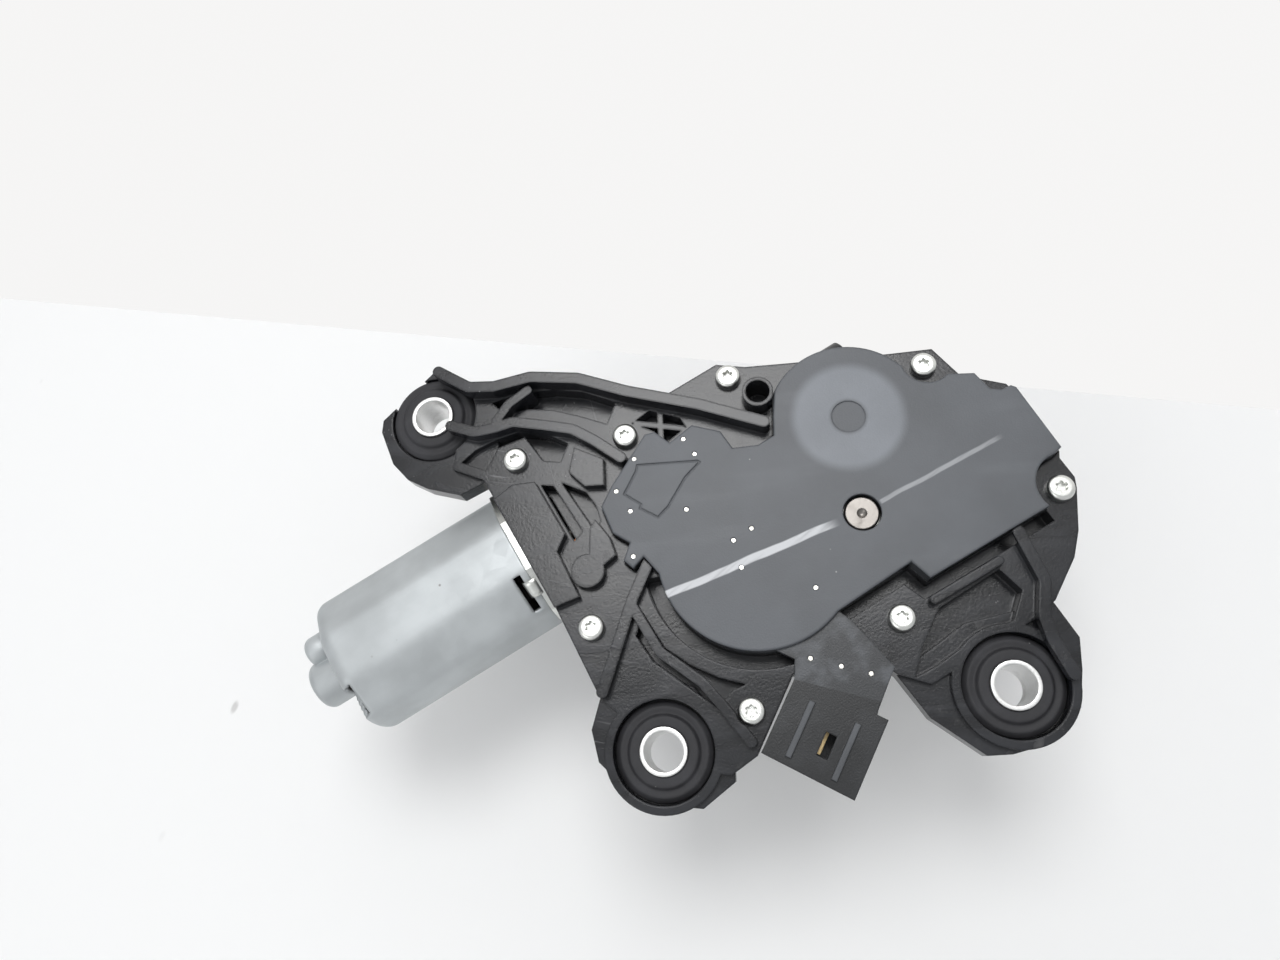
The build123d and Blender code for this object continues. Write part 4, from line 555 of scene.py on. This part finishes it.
def can_mesh(size):
    """The drawn can. Each row is the section's own directions at another distance from the motor's axis.

    Along the can that distance is the softened section, round its end it shrinks as a quarter circle, over
    the end face it goes over into the boss's circle, and at the boss's tip it shrinks to nothing.
    """
    low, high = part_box("motor_can")
    axis = np.array(JOINTS["armature_spin"]["pos_m"])
    half_width = (high.y - low.y) / 2
    half_height = (high.z - low.z) / 2
    facet = np.array([0.88 * half_width, 0.6 * half_height])
    share = np.linspace(1.0, -1.0, 9)
    flank = np.column_stack([half_width - (half_width - facet[0]) * share**2, facet[1] * share])
    right = np.vstack([[size.can_flat * MM, half_height], flank, [size.can_flat * MM, -half_height]])
    section = softened(np.vstack([right, -right]), 220, size.can_bend * MM)
    reach = np.linalg.norm(section, axis=1)
    way = section / reach[:, None]
    quarter = np.linspace(0.0, math.pi / 2, 9)[1:]
    bend = size.can_round * MM
    boss = size.boss_radius * MM
    end = low.x + size.boss_length * MM
    foot = 1.5 * MM
    tip = 2.6 * MM
    body = np.linspace(high.x, end + bend, 76)
    spots = np.linspace(0.0, 1.0, 7)[1:]
    nothing = np.zeros_like
    x = [body, end + bend - bend * np.sin(quarter), np.full_like(spots, end)]
    x += [end - foot + foot * np.cos(quarter), np.array([low.x + tip])]
    x += [low.x + tip - tip * np.sin(quarter), np.array([low.x])]
    inset = [nothing(body), bend - bend * np.cos(quarter), np.full_like(spots, bend), nothing(quarter)]
    inset += [np.zeros(1), nothing(quarter), np.zeros(1)]
    over = [nothing(body), nothing(quarter), spots, np.ones_like(quarter)]
    over += [np.ones(1), np.ones_like(quarter), np.ones(1)]
    ring = [nothing(body), nothing(quarter), np.full_like(spots, boss + foot)]
    ring += [boss + foot - foot * np.sin(quarter), np.array([boss])]
    ring += [boss - tip + tip * np.cos(quarter), np.zeros(1)]
    x, inset, over, ring = (np.concatenate(rows)[:, None] for rows in (x, inset, over, ring))
    distance = (1 - over) * (reach - inset) + over * ring
    y = axis[1] + distance * way[:, 0]
    z = axis[2] + distance * way[:, 1]
    grid = np.stack([np.broadcast_to(x, y.shape), y, z], axis=-1)
    points = grid.reshape(-1, 3)
    quads = woven(grid.shape, False)
    centre = points[quads].mean(axis=1)
    slot_lowest = 6 * MM
    slot_outer = -17 * MM
    vent_inner = -8.4 * MM
    vent_length = 3.4 * MM
    crimp_inner = -7.6 * MM
    crimp_back = 3.5 * MM
    crimp_half = 1.1 * MM
    across = centre[:, 1] - axis[1]
    slots = (centre[:, 2] > axis[2] + slot_lowest) & (across > slot_outer)
    vent = (centre[:, 0] < end + vent_length) & (across < vent_inner)
    crimp = (abs(centre[:, 0] - high.x + crimp_back) < crimp_half) & (across < crimp_inner)
    quads = quads[~(slots & (vent | crimp))]
    lobe = size.lobe_radius * MM
    lobe_end = low.x + 2.5 * MM
    lobe_place = (9 * MM, 3 * MM)
    shoulder = np.column_stack([lobe - tip + tip * np.cos(quarter), lobe_end + tip - tip * np.sin(quarter)])
    dome = np.vstack([[[lobe, end]], shoulder, [[0.0, lobe_end]]])
    cap, cap_quads = turned(dome, (0.0, 0.0), 64, False)
    cap_y = cap[:, 0] + axis[1] + lobe_place[0]
    cap_z = cap[:, 1] + axis[2] + lobe_place[1]
    cap = np.column_stack([cap[:, 2], cap_y, cap_z])
    return joined((points, quads), (cap, cap_quads))


def tab_mesh():
    """The end plate's tab: a bent profile along the motor, carried sideways down the can's facet."""
    low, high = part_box("motor_can")
    axis = np.array(JOINTS["armature_spin"]["pos_m"])
    along = np.array([2.2, 1.2, 0.2, -0.8, -1.8, -2.5, -2.8]) * MM + high.x
    out = np.array([-0.6, 0.3, 0.75, 0.85, 0.6, -0.1, -1.2]) * MM
    flat = 7.3 * MM
    slope = 0.62
    lift = (-0.527, 0.85)
    share = np.linspace(0.0, 1.0, 5)[:, None]
    facet_y = -(9.6 + 4.2 * share) * MM
    facet_z = (high.z - axis[2]) - (-facet_y - flat) * slope
    y = axis[1] + facet_y + lift[0] * out
    z = axis[2] + facet_z + lift[1] * out
    grid = np.stack([np.broadcast_to(along, y.shape), y, z], axis=-1)
    index = np.arange(grid.shape[0] * grid.shape[1]).reshape(grid.shape[:2])
    quads = np.stack([index[:-1, :-1], index[:-1, 1:], index[1:, 1:], index[1:, :-1]], axis=-1).reshape(-1, 4)
    return grid.reshape(-1, 3), quads


def spindle_mesh(size):
    """The spindle: a radius that depends on height and turn.

    In the thread it falls by a triangle wave of height over pitch less turn over a full turn. On the cone it
    falls by a raised cosine of the turn times the number of knurls. Elsewhere it is the plain profile.
    """
    turn = np.linspace(0.0, 2 * math.pi, 6 * size.knurls, endpoint=False)
    tip = -27.0
    neck = (-15.0, -14.0)
    neck_radius = 3.4
    thread_radius = 4.0
    cone_radius = 4.7
    cone_half_angle = math.radians(4)
    thread = np.linspace(tip, neck[0], 106)
    cone = np.linspace(neck[1], -7.2, 8)
    plain = np.array([
        (-7.0, 4.7), (-7.0, 4.75), (0.0, 4.75), (0.3, 5.0), (5.6, 5.0), (5.6, 4.5),
        (6.7, 4.5), (6.7, 5.0), (37.0, 5.0), (37.0, 4.5), (43.7, 4.5), (43.7, 4.1),
        (44.8, 4.1), (44.8, 4.5), (50.6, 4.5), (51.0, 4.1), (51.0, 1.3), (49.4, 0.0),
    ])
    z = np.concatenate([[tip], thread, neck, cone, plain[:, 0]])[:, None]
    bevelled = np.minimum(thread_radius, neck_radius + thread - tip)
    tapered = cone_radius + (cone - plain[0, 0]) * math.tan(cone_half_angle)
    radius = np.concatenate([[0.0], bevelled, [neck_radius, neck_radius], tapered, plain[:, 1]])[:, None]
    threaded = (np.arange(len(z)) >= 1) & (np.arange(len(z)) <= len(thread))
    before_cone = 1 + len(thread) + len(neck)
    knurled = (np.arange(len(z)) >= before_cone) & (np.arange(len(z)) < before_cone + len(cone))
    phase = (z / size.thread_pitch - turn / (2 * math.pi)) % 1.0
    wave = np.clip(1.25 - 2.5 * abs(phase - 0.5), 0.0, 1.0)
    flutes = 0.5 + 0.5 * np.cos(size.knurls * turn)
    cut = threaded[:, None] * wave * size.thread_depth + knurled[:, None] * size.knurl_depth * flutes
    distance = (radius - cut) * MM
    height = np.broadcast_to(z * MM, distance.shape)
    grid = np.stack([distance * np.cos(turn), distance * np.sin(turn), height], axis=-1)
    return grid.reshape(-1, 3), woven(grid.shape, False)


def grommet_mesh(node, place):
    """A grommet: its softened profile turned about the sleeve."""
    low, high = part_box(node)
    radius = (high.x - low.x) / 2
    bore = 6.02 * MM
    waist = 9.6 * MM
    web = (40.0 * MM, 43.6 * MM)
    corners = np.array([
        (bore, low.z), (radius - 1.2 * MM, low.z), (radius, low.z + 1.2 * MM), (radius, web[0]),
        (waist, web[0]), (waist, web[1]), (radius, web[1]), (radius, high.z - 2.2 * MM),
        (radius - 1.4 * MM, high.z - 1.0 * MM), (9.3 * MM, high.z - 1.3 * MM), (8.6 * MM, high.z), (bore, high.z),
    ])
    return turned(softened(corners, 150, 0.28 * MM), place, 96)


def sleeve_mesh(place):
    """A turned sleeve whose edges are broken."""
    low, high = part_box("mounting_sleeves")
    bore = 4.9 * MM
    outside = 6.0 * MM
    corners = np.array([(bore, low.z), (outside, low.z), (outside, high.z), (bore, high.z)])
    return turned(softened(corners, 160, 0.12 * MM), place, 96)


def tint(name):
    """A colour of the settings."""
    return tuple(getattr(bpy.context.scene.wiper_colours, name))


class WIPER_OT_shells(bpy.types.Operator):
    """Finish the lower shell, the mounting frame and the rear cover"""

    bl_idname = "wiper.shells"
    bl_label = "Shells and cover"

    def execute(self, context):
        paint(shell_plastic("frame_plastic", tint("shell"), 0.17, 0.0007), "mounting_frame")
        paint(shell_plastic("housing_plastic", tint("shell"), 0.3, 0.0007), "gear_housing")
        paint(cover_plastic(tint("cover")), "rear_cover")
        return {"FINISHED"}


class WIPER_OT_motor(bpy.types.Operator):
    """Finish the motor can and its end plate"""

    bl_idname = "wiper.motor"
    bl_label = "Motor can"

    def execute(self, context):
        size = context.scene.wiper_sizes
        zinc = zinc_steel(tint("zinc"))
        paint(zinc, "motor_can")
        can = made_piece("drawn_can", can_mesh(size), zinc, "housing", "can_steel", "motor_can")
        wall = can.modifiers.new("wall", "SOLIDIFY")
        wall.thickness = size.can_wall * MM
        wall.offset = -1.0
        bright = plain_metal("bright_steel", tint("bright"), 0.24)
        paint(bright, "motor_end_plate", "housing_screws", "spindle_circlip", "lower_circlip")
        paint(bright, "bearing_clip", "thrust_ball", "thrust_screw", "brush_springs")
        tab = made_piece("end_plate_tab", tab_mesh(), bright, "housing", "bright_steel")
        sheet = tab.modifiers.new("sheet", "SOLIDIFY")
        sheet.thickness = 0.8 * MM
        sheet.offset = 0.0
        return {"FINISHED"}


class WIPER_OT_mounting(bpy.types.Operator):
    """Finish the grommets, their sleeves and the seals"""

    bl_idname = "wiper.mounting"
    bl_label = "Grommets and sleeves"

    def execute(self, context):
        rubber = mount_rubber("mount_rubber", tint("rubber"))
        paint(rubber, "left_grommet", "lower_grommet", "right_grommet")
        seal = mount_rubber("seal_rubber", scaled(tint("rubber"), 0.6))
        paint(seal, "cover_seal", "housing_gasket", "shaft_seal")
        aluminium = plain_metal("turned_aluminium", tint("aluminium"), 0.3)
        paint(aluminium, "mounting_sleeves")
        for ear in EARS:
            node = f"{ear}_grommet"
            mesh = grommet_mesh(node, ear_place(ear))
            made_piece(f"{ear}_rubber", mesh, rubber, "housing", "mount_rubber", node)
        sleeves = joined(*[sleeve_mesh(ear_place(ear)) for ear in EARS])
        made_piece("turned_sleeves", sleeves, aluminium, "housing", "sleeve_aluminium", "mounting_sleeves")
        return {"FINISHED"}


class WIPER_OT_gears(bpy.types.Operator):
    """Finish the worm drive, the swinging linkage and the output spindle"""

    bl_idname = "wiper.gears"
    bl_label = "Gears and spindle"

    def execute(self, context):
        steel = plain_metal("ground_steel", tint("ground"), 0.3)
        paint(steel, "worm_shaft", "crank_pin", "output_spindle", "spindle_pinion")
        paint(steel, "rocker_plate", "pivot_pin", "segment_coupler", "wheel_axle")
        spindle = spindle_mesh(context.scene.wiper_sizes)
        made_piece("threaded_spindle", spindle, steel, "spindle", "spindle_steel", "output_spindle")
        paint(plain_plastic("acetal", tint("acetal"), 0.4), "worm_wheel", "thrust_washer")
        bronze = plain_metal("bush_bronze", tint("bronze"), 0.45)
        paint(bronze, "upper_bush", "lower_bush", "front_bearing", "rear_bearing")
        return {"FINISHED"}


class WIPER_OT_armature(bpy.types.Operator):
    """Finish the armature, the magnets and the brush gear"""

    bl_idname = "wiper.armature"
    bl_label = "Armature and brushes"

    def execute(self, context):
        copper = plain_metal("copper_wire", tint("copper"), 0.3)
        paint(copper, "armature_windings", "brush_leads", "suppression_chokes", "commutator")
        paint(laminated_iron(), "armature_core")
        paint(plain_plastic("sintered_ferrite", (0.05, 0.05, 0.053), 0.55, 2500.0), "field_magnets")
        paint(plain_plastic("holder_plastic", (0.035, 0.035, 0.037), 0.4), "brush_holder")
        paint(plain_plastic("brush_carbon", (0.035, 0.033, 0.032), 0.6, 3000.0), "carbon_brushes")
        paint(plain_plastic("dipped_resin", (0.35, 0.09, 0.05), 0.25), "suppression_capacitor")
        return {"FINISHED"}


class WIPER_OT_contacts(bpy.types.Operator):
    """Finish the conductors, the connector's blades and the park switch"""

    bl_idname = "wiper.contacts"
    bl_label = "Contacts"

    def execute(self, context):
        brass = plain_metal("stamped_brass", tint("brass"), 0.28)
        paint(brass, "contact_ring", "park_contacts", "connector_pins")
        paint(plain_metal("tinned_brass", (0.86, 0.84, 0.78), 0.3), "conductor_tracks")
        return {"FINISHED"}


def ray_to(height, spot, settings):
    """Where the line of sight through a spot of the picture, in pixels, meets a height."""
    right = Vector(settings.camera_right).normalized()
    back = Vector(settings.camera_back).normalized()
    up = back.cross(right)
    focal = settings.lens / SENSOR * PICTURE[0]
    line = right * (spot[0] - PICTURE[0] / 2) + up * (PICTURE[1] / 2 - spot[1]) - back * focal
    eye = Vector(settings.camera_place)
    return eye + line * ((height - eye.z) / line.z)


class WIPER_OT_studio(bpy.types.Operator):
    """Make the camera, the floor, the wall behind it and the lamps"""

    bl_idname = "wiper.studio"
    bl_label = "Studio"

    def execute(self, context):
        scene = context.scene
        settings = scene.wiper_studio
        scene.view_settings.view_transform = "Standard"
        camera = bpy.data.objects.new("camera", bpy.data.cameras.new("camera"))
        scene.collection.objects.link(camera)
        camera.data.lens = settings.lens
        camera.data.sensor_width = SENSOR
        camera.data.clip_start = 0.01
        right = Vector(settings.camera_right).normalized()
        back = Vector(settings.camera_back).normalized()
        up = back.cross(right)
        turn = Matrix((right, up, back)).transposed()
        camera.matrix_world = Matrix.Translation(Vector(settings.camera_place)) @ turn.to_4x4()
        scene.camera = camera

        floor_z = CAD_BOX[0].z
        table = Finish("table_white", Specular_IOR_Level=0.4)
        marks = finish_marks(table)
        table.feed("Base Color", table.blend(marks, (0.9, 0.9, 0.895), (0.36, 0.35, 0.34)))
        table.shader.inputs["Roughness"].default_value = 0.45
        left, far = (ray_to(floor_z, spot, settings) for spot in FLOOR_EDGE)
        edge = (far - left).normalized()
        away = Vector((-edge.y, edge.x, 0.0))
        reach = 2.0
        wall_back = 0.6
        wall_drop = 1.6
        corners = [left - edge * reach, left + edge * reach]
        near = [corners[1] - away * 2 * reach, corners[0] - away * 2 * reach]
        floor = flat_sheet("floor", [*corners, *near], table.material)
        corners = [c + away * wall_back - Vector((0, 0, wall_drop)) for c in corners]
        top = [corners[1] + Vector((0, 0, 2 * reach)), corners[0] + Vector((0, 0, 2 * reach))]
        wall = flat_sheet("wall", [*corners, *top], wall_white())

        world = bpy.data.worlds.new("sky")
        world.use_nodes = True
        sky = world.node_tree.nodes["Background"]
        sky.inputs["Color"].default_value = (0.97, 0.985, 1.0, 1.0)
        sky.inputs["Strength"].default_value = settings.sky_strength
        scene.world = world
        aim = Vector((-0.03, 0.02, 0.03))
        lamp("key", Vector((0.12, 0.36, 1.08)), aim, (0.6, 0.45), settings.key_strength)
        lamp("fill", Vector((-0.8, -0.2, 0.7)), aim, (0.6, 0.6), settings.fill_strength)
        return {"FINISHED"}


def wall_white():
    """White wall paint: evenly pale to the camera and in reflections, and matt to other light."""
    finish = Finish("wall_white", Roughness=0.8)
    finish.feed("Base Color", finish.blend(finish.noise(3.0), (0.8, 0.8, 0.81), (0.84, 0.84, 0.85)))
    seen = finish.node("ShaderNodeLightPath", {}, {}, "Is Camera Ray")
    mirrored = finish.node("ShaderNodeLightPath", {}, {}, "Is Glossy Ray")
    pale = finish.node("ShaderNodeEmission", {}, {"Color": (0.92, 0.915, 0.91, 1.0), "Strength": 1.0})
    direct = seen.maths("MAXIMUM", seen, mirrored)
    matt = Wire(finish, finish.shader.outputs[0])
    shown = finish.node("ShaderNodeMixShader", {}, {0: direct, 1: matt, 2: pale})
    finish.tree.links.new(shown.socket, finish.tree.nodes["Material Output"].inputs["Surface"])
    return finish.material


def finish_marks(table):
    """Sparse small dark marks on the table's white face."""
    dots = 1.0 - table.cells(36.0, table.stretched((1.0, 0.5, 1.0), (0.0, 0.0, 0.9))).step(0.03, 0.06)
    return dots * table.noise(22.0, 1.0).step(0.5, 0.56) * 0.5


def flat_sheet(name, corners, material):
    """A flat face with four corners."""
    data = bpy.data.meshes.new(name)
    data.from_pydata([tuple(c) for c in corners], [], [(0, 1, 2, 3)])
    data.materials.append(material)
    sheet = bpy.data.objects.new(name, data)
    bpy.context.scene.collection.objects.link(sheet)
    return sheet


def lamp(name, place, aim, size, power):
    """A rectangular area lamp that points at a place."""
    data = bpy.data.lights.new(name, "AREA")
    data.shape = "RECTANGLE"
    data.size, data.size_y = size
    data.energy = power
    made = bpy.data.objects.new(name, data)
    aimed = (aim - place).to_track_quat("-Z", "Y").to_matrix().to_4x4()
    made.matrix_world = Matrix.Translation(place) @ aimed
    bpy.context.scene.collection.objects.link(made)


OPERATORS = (
    WIPER_OT_shells,
    WIPER_OT_motor,
    WIPER_OT_mounting,
    WIPER_OT_gears,
    WIPER_OT_armature,
    WIPER_OT_contacts,
    WIPER_OT_studio,
)


class WIPER_PT_panel(bpy.types.Panel):
    """Operators and settings of the wiper motor"""

    bl_idname = "WIPER_PT_panel"
    bl_label = "Wiper motor"
    bl_space_type = "VIEW_3D"
    bl_region_type = "UI"
    bl_category = "Wiper motor"

    def draw(self, context):
        for operator in OPERATORS:
            self.layout.operator(operator.bl_idname)
        for group in (context.scene.wiper_colours, context.scene.wiper_sizes, context.scene.wiper_studio):
            box = self.layout.box()
            for name in group.bl_rna.properties.keys():
                if name not in ("rna_type", "name"):
                    box.prop(group, name)


CLASSES = (MotorColours, MotorSizes, StudioSettings, *OPERATORS, WIPER_PT_panel)


def register():
    """Registers the classes and their settings on the scene."""
    for item in CLASSES:
        bpy.utils.register_class(item)
    bpy.types.Scene.wiper_colours = bpy.props.PointerProperty(type=MotorColours)
    bpy.types.Scene.wiper_sizes = bpy.props.PointerProperty(type=MotorSizes)
    bpy.types.Scene.wiper_studio = bpy.props.PointerProperty(type=StudioSettings)


def unregister():
    """Takes the settings and the classes away again."""
    del bpy.types.Scene.wiper_studio
    del bpy.types.Scene.wiper_sizes
    del bpy.types.Scene.wiper_colours
    for item in reversed(CLASSES):
        bpy.utils.unregister_class(item)


def main():
    register()
    bpy.ops.wiper.shells()
    bpy.ops.wiper.motor()
    bpy.ops.wiper.mounting()
    bpy.ops.wiper.gears()
    bpy.ops.wiper.armature()
    bpy.ops.wiper.contacts()
    bpy.ops.wiper.studio()


if __name__ == "__main__":
    main()
